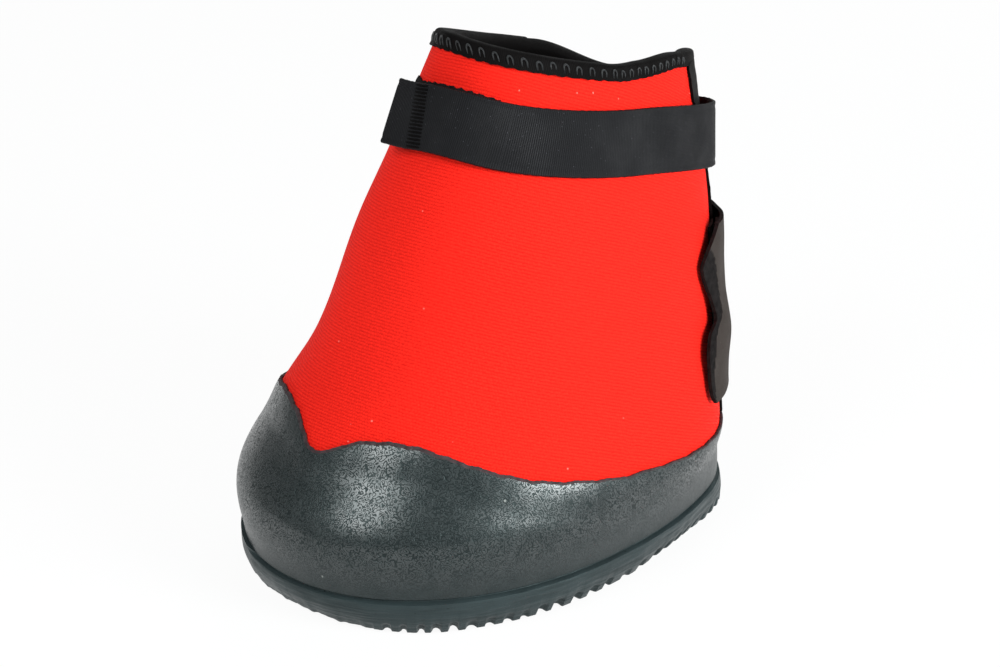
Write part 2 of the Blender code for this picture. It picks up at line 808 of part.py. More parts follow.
def tab_middle():
    """Middle level of the tab, which keeps clear of the flap's hem."""
    return rim_level(TAB_HINGE_ANGLE) + TAB_ROOM + TAB_HEIGHT / 2


def tab_rows(height):
    """Rows of a band of a height about the tab's middle."""
    levels = spread(tab_middle() - height / 2, tab_middle() + height / 2, TAB_ROWS)
    return [lambda angle, z=level: z for level in levels]


def tab_lift(angle):
    """Height of the tab's inner face above the wall, with its free edge curled out."""
    curl = TAB_CURL * ease(1 - (angle - TAB_FREE_ANGLE) / TAB_CURL_ANGLE)
    return tape_lift() * smooth_table(angle, TAB_LIFT_SHARES) + curl


def make_tab(boot, flap, tab):
    """Closure tab: sewn end, free end and its hook and loop tapes."""
    rows = tab_rows(TAB_HEIGHT)

    def hinge_side(sign):
        def edge(row):
            level = row(TAB_HINGE_ANGLE)
            return TAB_HINGE_ANGLE + sign * half_gap(TAB_HINGE_ANGLE, level)
        return edge

    near, far = hinge_side(-1), hinge_side(1)
    make_band("tab_base", rows, lambda row: (far(row), TAB_SEWN_ANGLE),
              tab_lift, TAB_THICKNESS, WEBBING, flap)
    make_band("closure_tab", rows, lambda row: (TAB_FREE_ANGLE, near(row)),
              tab_lift, TAB_THICKNESS, WEBBING, tab)

    def tape_ends(row):
        level = row(SLIT_ANGLE)
        return TAB_FREE_ANGLE, SLIT_ANGLE - degrees_for(BINDING_LEG + LAY_GAP, SLIT_ANGLE, level)

    tape_rows = tab_rows(TAB_HEIGHT - 2 * TAPE_INSET)
    make_band("tab_hook_tape", tape_rows, tape_ends,
              lambda a: tab_lift(a) - LAY_GAP - HOOK_THICKNESS, HOOK_THICKNESS, FUZZY_TAPE, tab)
    make_band("tab_loop_pad", rows, tape_ends,
              lambda a: LAY_GAP, LOOP_THICKNESS, FUZZY_TAPE, boot)


def band_axis(angle, rows, lift, thickness, proud):
    """Lowest and highest point of the axis on which a band turns."""
    depth = lift + thickness + proud
    return [layer_point(angle, row(angle), depth) for row in (rows[0], rows[-1])]


def make_pivots():
    """Pivots of the moving pieces, each on its joint's axis."""
    boot = make_pivot("boot", (0.0, 0.0, 0.0))
    flap = make_pivot("heel_flap", hinge_line()[0], boot)
    strap_axis = band_axis(STRAP_HINGE_ANGLE, strap_rows(STRAP_WIDTH),
                           strap_lift(STRAP_HINGE_ANGLE), STRAP_THICKNESS, STRAP_HINGE_PROUD)
    strap = make_pivot("strap", strap_axis[0], flap)
    tip_axis = band_axis(STRAP_FOLD_ANGLE, strap_rows(STRAP_WIDTH),
                         strap_lift(STRAP_FOLD_ANGLE), STRAP_THICKNESS, STRAP_HINGE_PROUD)
    strap_tip = make_pivot("strap_tip", tip_axis[0], strap)
    tab_axis = band_axis(TAB_HINGE_ANGLE, tab_rows(TAB_HEIGHT),
                         tab_lift(TAB_HINGE_ANGLE), TAB_THICKNESS, TAB_HINGE_PROUD)
    tab = make_pivot("closure_tab_pivot", tab_axis[0], flap)
    return boot, flap, strap, strap_tip, tab


def centre_plan(boot):
    """Move the boot so that the middle of its plan is at the origin."""
    bpy.context.view_layer.update()
    meshes = [obj for obj in bpy.data.objects if obj.type == "MESH"]
    places = [obj.matrix_world @ v.co for obj in meshes for v in obj.data.vertices]
    for axis in (0, 1):
        low = min(place[axis] for place in places)
        high = max(place[axis] for place in places)
        boot.location[axis] -= (low + high) / 2


def main():
    """Build the boot."""
    for obj in list(bpy.data.objects):
        bpy.data.objects.remove(obj, do_unlink=True)
    boot, flap, strap, strap_tip, tab = make_pivots()
    make_outsole(boot)
    make_shell(boot)
    make_footbed(boot)
    make_upper(boot)
    make_lower_heel(boot)
    make_boot_bindings(boot)
    make_flap(flap)
    make_flap_bindings(flap)
    make_strap(boot, flap, strap, strap_tip)
    make_tab(boot, flap, tab)
    centre_plan(boot)


main()
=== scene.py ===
"""Looks of the horse hoof boot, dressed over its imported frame.

Metres, +Z up, toe towards -Y, heel towards +Y, +X the side with the slit.
Angles round the boot are in degrees, 0 at the toe and 90 on the +X side. A
level is a height at the middle of the boot; level lines tip up towards the
toe near the collar. A depth is measured out of the wall's outer face, so it
is negative inside.
"""
import logging
import math
from dataclasses import dataclass
from enum import Enum
from typing import Callable, NamedTuple, Sequence

import bpy
import numpy as np
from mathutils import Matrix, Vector


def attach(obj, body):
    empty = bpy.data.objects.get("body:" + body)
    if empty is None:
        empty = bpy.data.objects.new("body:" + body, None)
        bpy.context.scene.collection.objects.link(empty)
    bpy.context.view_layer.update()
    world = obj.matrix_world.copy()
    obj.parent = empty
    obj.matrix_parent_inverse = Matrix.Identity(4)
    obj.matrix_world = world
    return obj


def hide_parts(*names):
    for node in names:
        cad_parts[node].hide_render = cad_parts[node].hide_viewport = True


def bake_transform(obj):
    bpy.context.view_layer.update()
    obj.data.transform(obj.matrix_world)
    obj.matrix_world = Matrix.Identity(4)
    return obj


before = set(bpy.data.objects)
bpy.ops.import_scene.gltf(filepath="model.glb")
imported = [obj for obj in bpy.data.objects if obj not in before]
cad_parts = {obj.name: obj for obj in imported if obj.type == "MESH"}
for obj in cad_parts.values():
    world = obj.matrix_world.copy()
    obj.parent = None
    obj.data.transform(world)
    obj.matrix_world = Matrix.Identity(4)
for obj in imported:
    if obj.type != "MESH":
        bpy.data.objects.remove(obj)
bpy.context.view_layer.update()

LOG = logging.getLogger("hoof_boot")
MM = 0.001
TINY = 1e-6
Array = np.ndarray
Values = Array | float
Rows = Sequence[tuple[float, ...]]
Span = tuple[float, float]
Triple = tuple[float, float, float]
Piece = bpy.types.Object
Node = bpy.types.Node
Socket = bpy.types.NodeSocket
Reader = Callable[..., Values]

SECTION_SHARES: Rows = (
    (0.0, 0.925, 0.975, 0.0, 0.0), (0.13, 1.0, 1.0, 0.0, 0.0), (0.24, 0.85, 0.84, 0.17, 0.12),
    (0.39, 0.65, 0.64, 0.42, 0.2), (0.64, 0.4, 0.42, 0.66, 0.44), (0.845, 0.175, 0.175, 0.86, 0.72),
    (1.0, 0.0, 0.0, 1.0, 1.0), (1.05, -0.0565, -0.0565, 1.045, 1.09),
)
SHELL_RIM_SHARES: Rows = (
    (0.0, 0.887), (3.0, 0.893), (6.0, 0.922), (10.0, 0.958), (15.0, 0.985), (23.0, 1.0), (31.0, 0.992),
    (40.0, 0.955), (52.0, 0.89), (65.0, 0.818), (79.0, 0.76), (92.0, 0.702), (113.0, 0.626),
    (145.0, 0.555), (180.0, 0.567),
)
STRAP_LIFT_SHARES: Rows = (
    (-21.0, 2.0), (-15.0, 1.5), (-9.0, 1.15), (-2.0, 1.0), (12.0, 1.0), (24.0, 0.62), (36.0, 0.28),
    (48.0, 0.14), (110.0, 0.14), (126.0, 0.5), (138.0, 1.15), (152.0, 1.15), (168.0, 0.5), (182.0, 0.2),
    (201.0, 0.14),
)
TAB_LIFT_SHARES: Rows = (
    (115.0, 0.45), (122.0, 0.72), (129.0, 1.0), (142.0, 1.0), (150.0, 0.75), (162.0, 0.58),
    (174.0, 0.2), (183.0, 0.14),
)
STRAP_DROPS: Rows = ((-21.0, -2.5), (-10.0, -1.0), (0.0, 0.3), (14.0, 0.8), (34.0, 0.2), (50.0, 0.0))
TAB_EDGE_ANGLES: Rows = (
    (0.0, 123.0), (0.06, 120.5), (0.19, 118.0), (0.32, 116.0), (0.41, 117.5), (0.47, 122.5),
    (0.58, 121.5), (0.66, 119.0), (0.79, 116.0), (0.86, 118.5), (0.93, 123.0), (1.0, 127.0),
)
TAB_FUZZ_ANGLES: Rows = (
    (0.0, 123.0), (0.1, 121.5), (0.27, 119.7), (0.37, 121.0), (0.44, 127.0), (0.54, 127.5),
    (0.75, 124.5), (0.83, 121.0), (0.9, 119.0), (1.0, 119.0),
)
TAB_WAVES: Rows = (
    (0.0, -0.6), (0.17, 0.3), (0.33, 1.6), (0.43, 0.9), (0.55, -0.5), (0.72, -0.6), (0.88, 0.2), (1.0, 0.6),
)
SOLE_FOOT_OFFSETS: Rows = (
    (-180.0, 0.0), (-158.0, 0.5), (-138.0, 0.0), (-118.0, -3.5), (-94.0, -4.0), (-60.0, -2.0),
    (-40.0, 0.0), (-28.0, -2.0), (-12.0, -4.0), (6.0, -5.0), (28.0, -4.4), (42.0, -3.4), (60.0, -3.8),
    (94.0, -4.2), (104.0, -5.6), (118.0, -5.0), (130.0, -1.8), (138.0, 1.0), (146.0, 2.5), (158.0, 1.5),
    (180.0, 0.0),
)
SOLE_SIDE_SHARES: Rows = (
    (0.0, 0.2), (0.2, 0.6), (0.42, 0.95), (0.62, 1.0), (0.84, 0.85), (0.915, 0.6), (0.94, -0.35),
    (0.975, -0.5), (1.0, -0.35),
)
KNIT_SLANTS: Rows = (
    (-96.0, -19.0), (-40.0, -15.0), (-5.0, -6.5), (5.0, -1.4), (16.0, 5.5), (28.0, 12.5), (40.0, 18.3),
    (55.0, 21.5), (78.0, 24.5), (100.0, 27.5), (146.0, 29.0),
)


class Closed(Enum):
    """Which ways a wrapped grid closes on itself."""

    OPEN = (False, False)
    ACROSS = (False, True)
    ALONG = (True, False)
    BOTH = (True, True)


class Body(Enum):
    """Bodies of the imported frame."""

    BOOT = "boot"
    FLAP = "heel_flap"
    STRAP = "strap"
    TIP = "strap_tip"
    TAB = "tab"


def curve(x: Values, rows: Rows, column: int = 1) -> Array:
    """Read a smooth curve through rows of places and values.

    Args:
        x: Where to read.
        rows: Rows whose first entry is the place.
        column: Entry of a row that holds the value.

    Returns:
        The values at x, constant beyond the first and last row.
    """
    table = np.array(rows, float)
    places, values = table[:, 0], table[:, column]
    slopes = np.empty_like(values)
    slopes[1:-1] = (values[2:] - values[:-2]) / (places[2:] - places[:-2])
    slopes[0] = (values[1] - values[0]) / (places[1] - places[0])
    slopes[-1] = (values[-1] - values[-2]) / (places[-1] - places[-2])
    x = np.clip(np.asarray(x, float), places[0], places[-1])
    i = np.clip(np.searchsorted(places, x, side="right") - 1, 0, len(places) - 2)
    span = places[i + 1] - places[i]
    u = (x - places[i]) / span
    start = (2 * u**3 - 3 * u**2 + 1) * values[i] + (u**3 - 2 * u**2 + u) * span * slopes[i]
    end = (3 * u**2 - 2 * u**3) * values[i + 1] + (u**3 - u**2) * span * slopes[i + 1]
    return start + end


def ease(share: Values) -> Array:
    """Smooth step from 0 to 1."""
    share = np.clip(share, 0.0, 1.0)
    return share * share * (3 - 2 * share)


@dataclass(frozen=True)
class Window:
    """A stretch that counts, with soft ends."""

    start: float
    rise: float
    end: float
    fall: float

    def at(self, x: Values) -> Array:
        """1 well inside the stretch, 0 outside it."""
        return ease((x - self.start) / self.rise) * ease((self.end - x) / self.fall)


@dataclass(frozen=True)
class Bell:
    """A rounded bump."""

    middle: float
    width: float
    height: float = 1.0

    def at(self, x: Values) -> Array:
        """The bump's height at x."""
        return self.height * np.exp(-(((x - self.middle) / self.width) ** 2))


@dataclass(frozen=True)
class Ripple:
    """Sum of sines with seeded phases, about -1 to 1, each with a share of 1 over its place."""

    pitch: float
    seed: int
    waves: tuple[float, ...]

    def at(self, x: Values) -> Array:
        """The sum at x.

        Args:
            x: Places.

        Returns:
            The sum at each place.
        """
        phases = np.random.default_rng(self.seed).uniform(0, 2 * np.pi, len(self.waves))
        turns = x / self.pitch
        parts = enumerate(zip(self.waves, phases))
        total = sum(np.sin(2 * np.pi * f * turns + p) / (k + 1) for k, (f, p) in parts)
        return total / sum(1 / (k + 1) for k in range(len(self.waves)))


def turned(angle: Values) -> Array:
    """An angle as -180 to 180 degrees."""
    return (angle + 180) % 360 - 180


@dataclass(frozen=True)
class BootWall:
    """The boot's outer wall, which every layer follows."""

    shell_length: float = 0.2035
    shell_width: float = 0.156
    collar_length: float = 0.106
    collar_width: float = 0.076
    collar_setback: float = 0.0475
    collar_height: float = 0.190
    collar_left_drop: float = 0.0078
    collar_peak: float = 0.005
    flap_dip: float = 0.0075
    collar_tilt: float = 16.0
    toe_exponent: float = 2.1
    heel_exponent: float = 2.35
    sole_thickness: float = 0.016
    rim_height: float = 0.0672
    shell_wall: float = 0.003
    tuck_drop: float = 0.014
    neoprene: float = 0.005
    binding: float = 0.001
    binding_leg: float = 0.0045
    hem_gap: float = 0.0024
    slit_gap: float = 0.0008
    gap: float = 0.0003
    lay_gap: float = 0.0004
    slit_angle: float = 146.0
    hinge_angle: float = -96.0
    hinge_proud: float = 0.0022
    hinge_search: float = 24.0
    left_drop_angle: float = 110.0
    peak_start: float = 78.0
    peak_run: float = 35.0
    dip: Window = Window(110.0, 42.0, 200.0, 42.0)
    margin: float = 0.002
    halvings: int = 40
    plan_shift: float = -0.00209368
    angle_step: float = 0.5
    slope_share: float = 0.01

    def point(self, angle: Values, level: Values) -> Array:
        """Points of the wall's outer face.

        Args:
            angle: Angles round the boot.
            level: Levels, of a shape that goes with the angles.

        Returns:
            Points, with the coordinates on the last axis.
        """
        angle, level = np.broadcast_arrays(np.asarray(angle, float), np.asarray(level, float))
        share = (level - self.sole_thickness) / (self.collar_height - self.sole_thickness)
        wide, long, back, tip = (curve(share, SECTION_SHARES, k) for k in range(1, 5))
        half_width = (self.collar_width + (self.shell_width - self.collar_width) * wide) / 2
        half_length = (self.collar_length + (self.shell_length - self.collar_length) * long) / 2
        turn = np.radians(angle)
        s, c = np.sin(turn), np.cos(turn)
        power = 2 / np.where(c > 0, self.toe_exponent, self.heel_exponent)
        x = half_width * np.sign(s) * np.abs(s) ** power
        run = -half_length * np.sign(c) * np.abs(c) ** power
        tilt = np.tan(np.radians(self.collar_tilt * tip))
        y = self.collar_setback * back + run + self.plan_shift
        return np.stack([x, y, level - run * tilt], axis=-1)

    def slopes(self, angle: Values, level: Values) -> tuple[Array, Array]:
        """Steps of the wall per degree and per metre of level.

        Args:
            angle: Angles round the boot.
            level: Levels.

        Returns:
            Both steps, with the coordinates on the last axis.
        """
        a, z = self.angle_step, self.slope_share * self.collar_height
        around = (self.point(angle + a, level) - self.point(angle - a, level)) / (2 * a)
        up = (self.point(angle, level + z) - self.point(angle, level - z)) / (2 * z)
        return around, up

    def layer(self, angle: Values, level: Values, depth: Values) -> Array:
        """Points at a depth out of the wall's outer face.

        Args:
            angle: Angles round the boot.
            level: Levels.
            depth: Depths, negative inside.

        Returns:
            Points, with the coordinates on the last axis.
        """
        angle, level, depth = np.broadcast_arrays(
            np.asarray(angle, float), np.asarray(level, float), np.asarray(depth, float)
        )
        around, up = self.slopes(angle, level)
        normal = np.cross(around, up)
        normal /= np.linalg.norm(normal, axis=-1, keepdims=True)
        return self.point(angle, level) + normal * depth[..., None]

    def ring(self, angles: Array, depth: Values, height: Values) -> Array:
        """Points at a depth out of the wall's foot, moved up or down.

        Args:
            angles: Angles round the boot, as a column.
            depth: Depths, negative inside.
            height: Height to which the points are moved.

        Returns:
            Points, with the coordinates on the last axis.
        """
        points = self.layer(angles, self.sole_thickness, depth)
        points[..., 2] = height
        return points

    def degrees_per_metre(self, angle: Values, level: Values) -> Array:
        """Degrees round the wall that a metre along it takes."""
        return 1 / np.linalg.norm(self.slopes(angle, level)[0], axis=-1)

    def levels_per_metre(self, angle: Values, level: Values) -> Array:
        """Change of level that a metre up the wall takes."""
        return 1 / np.linalg.norm(self.slopes(angle, level)[1], axis=-1)

    def rim(self, angle: Values) -> Array:
        """Top of the rubber shell."""
        return self.rim_height * curve(np.abs(turned(np.asarray(angle, float))), SHELL_RIM_SHARES)

    def dropped(self, left: Array) -> Array:
        """Top edge of the neoprene, some degrees round to the left."""
        edge = self.collar_height - self.gap - self.binding
        return edge - self.collar_left_drop * ease(left / self.left_drop_angle)

    def collar(self, angle: Values) -> Array:
        """Top edge of the front panel, lower on the left and peaked at the slit."""
        angle = np.asarray(angle, float)
        return self.dropped(-angle) + self.collar_peak * ease((angle - self.peak_start) / self.peak_run)

    def flap_collar(self, angle: Values) -> Array:
        """Top edge of the heel flap, with a dip, also past the heel.

        Args:
            angle: Angles round the boot, up to 360 on the left.

        Returns:
            Levels.
        """
        angle = np.asarray(angle, float)
        left = np.where(angle > 0, 360 - angle, -angle)
        return self.dropped(left) - self.flap_dip * self.dip.at(left)

    def hem(self, angle: Values) -> Array:
        """Lower edge of the flap's neoprene."""
        return self.rim(angle) + self.hem_gap + self.gap + self.binding

    def foot(self) -> float:
        """Lowest level of the neoprene inside the shell."""
        return self.sole_thickness + self.margin + 2 * self.gap

    def tuck(self, angle: Values, level: Values) -> Array:
        """How far the neoprene is set in to lie inside the shell."""
        return (self.shell_wall + self.gap) * ease((self.rim(angle) - level) / self.tuck_drop)

    def flap_edge(self, level: Values) -> Array:
        """Angle of the flap's neoprene edge at the slit."""
        room = 2 * (self.gap + self.binding) + self.slit_gap
        return self.slit_angle + room * self.degrees_per_metre(self.slit_angle, level)

    def hinge_line(self) -> tuple[Array, Array]:
        """Two points of the axis on which the heel flap swings.

        Returns:
            Its lower and its upper point.
        """
        a = self.hinge_angle
        return (
            self.layer(a, self.rim(a), self.hinge_proud),
            self.layer(a, self.collar(a), self.hinge_proud),
        )

    def hinge_at(self, level_of: Callable[[Array], Array], count: int) -> Array:
        """Angles at which rows of the wall meet the plane of the flap's hinge.

        Args:
            level_of: Gives the rows' levels at as many angles.
            count: How many rows there are.

        Returns:
            One angle a row.
        """
        low, high = self.hinge_line()
        normal = np.cross(high - low, (1.0, 0.0, 0.0))
        a = np.full(count, self.hinge_angle - self.hinge_search)
        b = np.full(count, self.hinge_angle + self.hinge_search)
        rising = (self.point(b, level_of(b)) - low) @ normal > (self.point(a, level_of(a)) - low) @ normal
        for _ in range(self.halvings):
            middle = (a + b) / 2
            past = ((self.point(middle, level_of(middle)) - low) @ normal > 0) == rising
            a, b = np.where(past, a, middle), np.where(past, middle, b)
        return (a + b) / 2


WALL = BootWall()


class Track:
    """A line on the wall, with places beside it and over it."""

    def __init__(self, angles: Array, levels: Array, side: float = 1.0) -> None:
        """Measure the line.

        Args:
            angles: Angles of the line's points.
            levels: Levels of the line's points.
            side: 1 where places beside it lie to its left, -1 to its right.
        """
        self.angles, self.levels = np.asarray(angles, float), np.asarray(levels, float)
        points = WALL.point(self.angles, self.levels)
        steps = np.linalg.norm(np.diff(points, axis=0), axis=1)
        self.run = np.concatenate([[0.0], np.cumsum(steps)])
        self.length = float(self.run[-1])
        self.turn_rate = WALL.degrees_per_metre(self.angles, self.levels)
        self.rise_rate = WALL.levels_per_metre(self.angles, self.levels)
        around = np.gradient(self.angles, self.run) / self.turn_rate
        up = np.gradient(self.levels, self.run) / self.rise_rate
        size = np.hypot(around, up)
        self.beside = np.stack([-side * up / size, side * around / size], axis=1)

    def spot(self, along: Array, beside: Array) -> tuple[Array, Array]:
        """Angles and levels of places near the line.

        Args:
            along: Distances along the line.
            beside: Distances to its side.

        Returns:
            Angles and levels.
        """
        here = lambda values: np.interp(along, self.run, values)
        angle = here(self.angles) + beside * here(self.beside[:, 0]) * here(self.turn_rate)
        level = here(self.levels) + beside * here(self.beside[:, 1]) * here(self.rise_rate)
        return angle, level

    def place(self, along: Array, beside: Array, depth: Array) -> Array:
        """Points near the line.

        Args:
            along: Distances along the line.
            beside: Distances to its side.
            depth: Depths out of the wall.

        Returns:
            Points, with the coordinates on the last axis.
        """
        along, beside, depth = np.broadcast_arrays(along, beside, depth)
        angle, level = self.spot(along, beside)
        return WALL.layer(angle, level, depth)


class CornerTrack:
    """The collar's edge and the upright edge below it, round their corner."""

    facing: float = 12.5 * MM
    facing_run: float = 60 * MM
    facing_high: float = 14 * MM
    facing_low: float = 32 * MM
    slack: float = 0.5 * MM

    def __init__(self, start: float, corner: float, bottom: float) -> None:
        """Measure both edges.

        Args:
            start: Angle at which the collar's part starts.
            corner: Radius of the corner.
            bottom: Level at which the upright part ends.
        """
        self.corner = corner
        angles = np.linspace(start, WALL.slit_angle, 400)
        self.collar = Track(angles, WALL.collar(angles))
        self.levels = np.linspace(float(WALL.collar(WALL.slit_angle)), bottom, 200)
        steps = np.linalg.norm(np.diff(WALL.point(WALL.slit_angle, self.levels), axis=0), axis=1)
        self.falls = np.concatenate([[0.0], np.cumsum(steps)])
        self.level_run = self.collar.length - corner
        self.length = self.level_run + corner * math.pi / 2 + float(self.falls[-1]) - corner

    def flat(self, along: Array, beyond: Array) -> tuple[Array, Array]:
        """Flat place of a station: distance past the upright edge, and above the collar's.

        Args:
            along: Distances along both edges.
            beyond: Distances past the edge, negative on the cloth.

        Returns:
            Distances past the upright edge and above the collar's edge.
        """
        r = self.corner
        bent = np.clip((along - self.level_run) / r, 0.0, math.pi / 2)
        radius = np.maximum(r + beyond, 0.0)
        inner = np.minimum(beyond + r, 0.0)
        x_corner = -r + radius * np.sin(bent) + inner
        y_corner = -r + radius * np.cos(bent) + inner
        x_level = np.minimum(along - self.level_run - r, np.where(beyond < -r, beyond, 0.0))
        fall = along - self.level_run - r * math.pi / 2
        y_fall = np.minimum(-r - fall, np.where(beyond < -r, beyond, 0.0))
        on_level, on_fall = along < self.level_run, fall > 0
        x = np.where(on_level, x_level, np.where(on_fall, beyond, x_corner))
        y = np.where(on_level, beyond, np.where(on_fall, y_fall, y_corner))
        return x + self.spread(x, y), y

    def spread(self, x: Array, y: Array) -> Array:
        """Shift of places that widens the upright leg into a facing.

        Args:
            x: Distances past the upright edge.
            y: Distances above the collar's edge.

        Returns:
            What is added to x.
        """
        leg, r = WALL.binding_leg, self.corner
        across = np.clip(-(x + r) / (leg - r - self.slack), 0, 1)
        forward = np.clip(1 + (x + leg) / self.facing_run, 0, 1)
        return -self.facing * across * forward * ease(1 + (y + self.facing_high) / self.facing_low)

    def place(self, along: Array, beyond: Array, depth: Array) -> Array:
        """Points near the edges, as Track.place gives them.

        Args:
            along: Distances along both edges.
            beyond: Distances past the edge.
            depth: Depths out of the wall.

        Returns:
            Points, with the coordinates on the last axis.
        """
        along, beyond, depth = np.broadcast_arrays(along, beyond, depth)
        x, y = self.flat(along, beyond)
        near = np.interp(np.minimum(x, 0.0) + self.collar.length, self.collar.run, self.collar.angles)
        slit_level = np.interp(-np.minimum(y, 0.0), self.falls, self.levels)
        collar = WALL.collar(near)
        rate = WALL.degrees_per_metre(near, slit_level)
        scale = rate / WALL.degrees_per_metre(near, collar)
        angle = WALL.slit_angle + (near - WALL.slit_angle) * scale + np.maximum(x, 0.0) * rate
        rise = np.maximum(y, 0.0) * WALL.levels_per_metre(near, collar)
        return WALL.layer(angle, slit_level + (collar - self.levels[0]) + rise, depth)


def deselect() -> None:
    """Leave nothing selected."""
    bpy.ops.object.select_all(action="DESELECT")


def pick(piece: Piece) -> None:
    """Make a piece the only selected one, and active.

    Args:
        piece: The piece.
    """
    deselect()
    piece.select_set(True)
    bpy.context.view_layer.objects.active = piece


def read(parts: object, key: str) -> Array:
    """A vector of each vertex or face of a mesh, one a row.

    Args:
        parts: The mesh's vertices or faces.
        key: Name of the vector.

    Returns:
        One row a vertex or face.
    """
    flat = np.zeros(len(parts) * 3)
    parts.foreach_get(key, flat)
    return flat.reshape(-1, 3)


def wrap(name: str, places: Array, closed: Closed = Closed.OPEN, uv: Array | None = None) -> Piece:
    """Add a grid and lay it on places, as a closed mesh where its ends are capped.

    Args:
        name: Name of the piece.
        places: Points, first axis along the piece and second across it.
        closed: Which ways the grid closes on itself.
        uv: Places on the cloth in metres, or None to measure them.

    Returns:
        The piece, with a UV map in metres.
    """
    along, across = closed.value
    if uv is None:
        uv = measure(places)
    if along:
        lap = np.linalg.norm(places[0] - places[-1], axis=-1).mean()
        places = np.concatenate([places, places[:1]])
        uv = np.concatenate([uv, uv[-1:] + np.array((lap, 0.0))])
    if across:
        lap = np.linalg.norm(places[:, 0] - places[:, -1], axis=-1).mean()
        places = np.concatenate([places, places[:, :1]], axis=1)
        uv = np.concatenate([uv, uv[:, -1:] + np.array((0.0, lap))], axis=1)
    n, m = places.shape[:2]
    deselect()
    bpy.ops.mesh.primitive_grid_add(x_subdivisions=n - 1, y_subdivisions=m - 1, size=2.0)
    piece = bpy.context.active_object
    piece.name = piece.data.name = name
    mesh = piece.data
    flat = read(mesh.vertices, "co")
    i = np.rint((flat[:, 0] + 1) / 2 * (n - 1)).astype(int)
    j = np.rint((flat[:, 1] + 1) / 2 * (m - 1)).astype(int)
    mesh.vertices.foreach_set("co", places[i, j].ravel())
    corners = np.zeros(len(mesh.loops), int)
    mesh.loops.foreach_get("vertex_index", corners)
    mesh.uv_layers.active.data.foreach_set("uv", uv[i, j][corners].ravel())
    mesh.update()
    bpy.ops.object.mode_set(mode="EDIT")
    bpy.ops.mesh.select_all(action="SELECT")
    bpy.ops.mesh.remove_doubles(threshold=TINY)
    if closed is not Closed.OPEN:
        bpy.ops.mesh.select_all(action="SELECT")
        bpy.ops.mesh.fill_holes(sides=0)
        bpy.ops.mesh.select_all(action="SELECT")
        bpy.ops.mesh.normals_make_consistent(inside=False)
    bpy.ops.object.mode_set(mode="OBJECT")
    return piece


def measure(places: Array) -> Array:
    """UV of a grid of places, in metres along and across.

    Args:
        places: Points, first axis along and second across.

    Returns:
        Mean distances from the first row and column.
    """
    n, m = places.shape[:2]
    along = np.linalg.norm(np.diff(places, axis=0), axis=-1).mean(axis=1)
    across = np.linalg.norm(np.diff(places, axis=1), axis=-1).mean(axis=0)
    u = np.concatenate([[0.0], np.cumsum(along)])
    v = np.concatenate([[0.0], np.cumsum(across)])
    return np.stack(np.broadcast_arrays(u[:, None], v[None, :]), axis=-1)


def smooth(piece: Piece, angle: float = 40.0) -> Piece:
    """Shade a piece smooth, but for its sharp edges.

    Args:
        piece: The piece.
        angle: Edges that turn by more degrees stay sharp.

    Returns:
        The piece.
    """
    pick(piece)
    bpy.ops.object.shade_smooth_by_angle(angle=math.radians(angle))
    return piece


def thicken(piece: Piece, thickness: float, outward: Array) -> None:
    """Give a sheet its thickness, inwards from its face. Its second material is the inner side's.

    Args:
        piece: The sheet.
        thickness: Its thickness.
        outward: Direction out of its first face, to which the faces are turned.
    """
    mesh = piece.data
    if float(Vector(outward) @ mesh.polygons[0].normal) < 0:
        mesh.flip_normals()
    pick(piece)
    for _ in range(2):
        mesh.materials.append(None)
    wall = piece.modifiers.new("Thickness", "SOLIDIFY")
    wall.thickness, wall.offset = thickness, -1.0
    wall.material_offset = wall.material_offset_rim = 1
    bpy.ops.object.modifier_apply(modifier=wall.name)


def tube(path: Array, radius: float, sides: int = 6) -> Array:
    """Places of a tube round a path.

    Args:
        path: Points of its middle line.
        radius: Its radius.
        sides: Its number of sides.

    Returns:
        Points, first axis along the tube and second round it.
    """
    path = np.asarray(path, float)
    ahead = np.gradient(path, axis=0)
    ahead /= np.linalg.norm(ahead, axis=1, keepdims=True)
    up = np.cross(ahead, (0.0, 0.0, 1.0))
    up = np.where(np.linalg.norm(up, axis=1, keepdims=True) < TINY, (1.0, 0.0, 0.0), up)
    up /= np.linalg.norm(up, axis=1, keepdims=True)
    side = np.cross(ahead, up)
    turn = 2 * np.pi * np.arange(sides) / sides
    ring = np.cos(turn)[None, :, None] * up[:, None] + np.sin(turn)[None, :, None] * side[:, None]
    return path[:, None] + radius * ring


def scatter(name: str, pattern: Piece, spots: Array, placer: Reader) -> Piece:
    """Copy a small piece to many spots and lay each copy on the wall.

    Args:
        name: Name of the joined copies.
        pattern: The small piece, in metres along, beside and out. It is removed.
        spots: One row a copy: along, beside, depth, turn in radians and scale.
        placer: Gives points for distances along, beside and depths.

    Returns:
        One piece with all copies.
    """
    local = read(pattern.data.vertices, "co")
    faces = [list(face.vertices) for face in pattern.data.polygons]
    c, s = np.cos(spots[:, 3])[:, None], np.sin(spots[:, 3])[:, None]
    x, y, z = (local[None, :, k] * spots[:, 4:5] for k in range(3))
    along = spots[:, 0:1] + x * c - y * s
    beside = spots[:, 1:2] + x * s + y * c
    places = placer(along, beside, spots[:, 2:3] + z).reshape(-1, 3)
    count = len(local)
    copies = [[v + k * count for v in face] for k in range(len(spots)) for face in faces]
    made = bpy.data.meshes.new(name)
    made.from_pydata(places.tolist(), [], copies)
    made.uv_layers.new(name="UVMap")
    piece = bpy.data.objects.new(name, made)
    bpy.context.collection.objects.link(piece)
    bpy.data.objects.remove(pattern)
    piece.data.shade_smooth()
    pick(piece)
    bpy.ops.object.mode_set(mode="EDIT")
    bpy.ops.mesh.select_all(action="SELECT")
    bpy.ops.mesh.normals_make_consistent(inside=False)
    bpy.ops.object.mode_set(mode="OBJECT")
    return piece


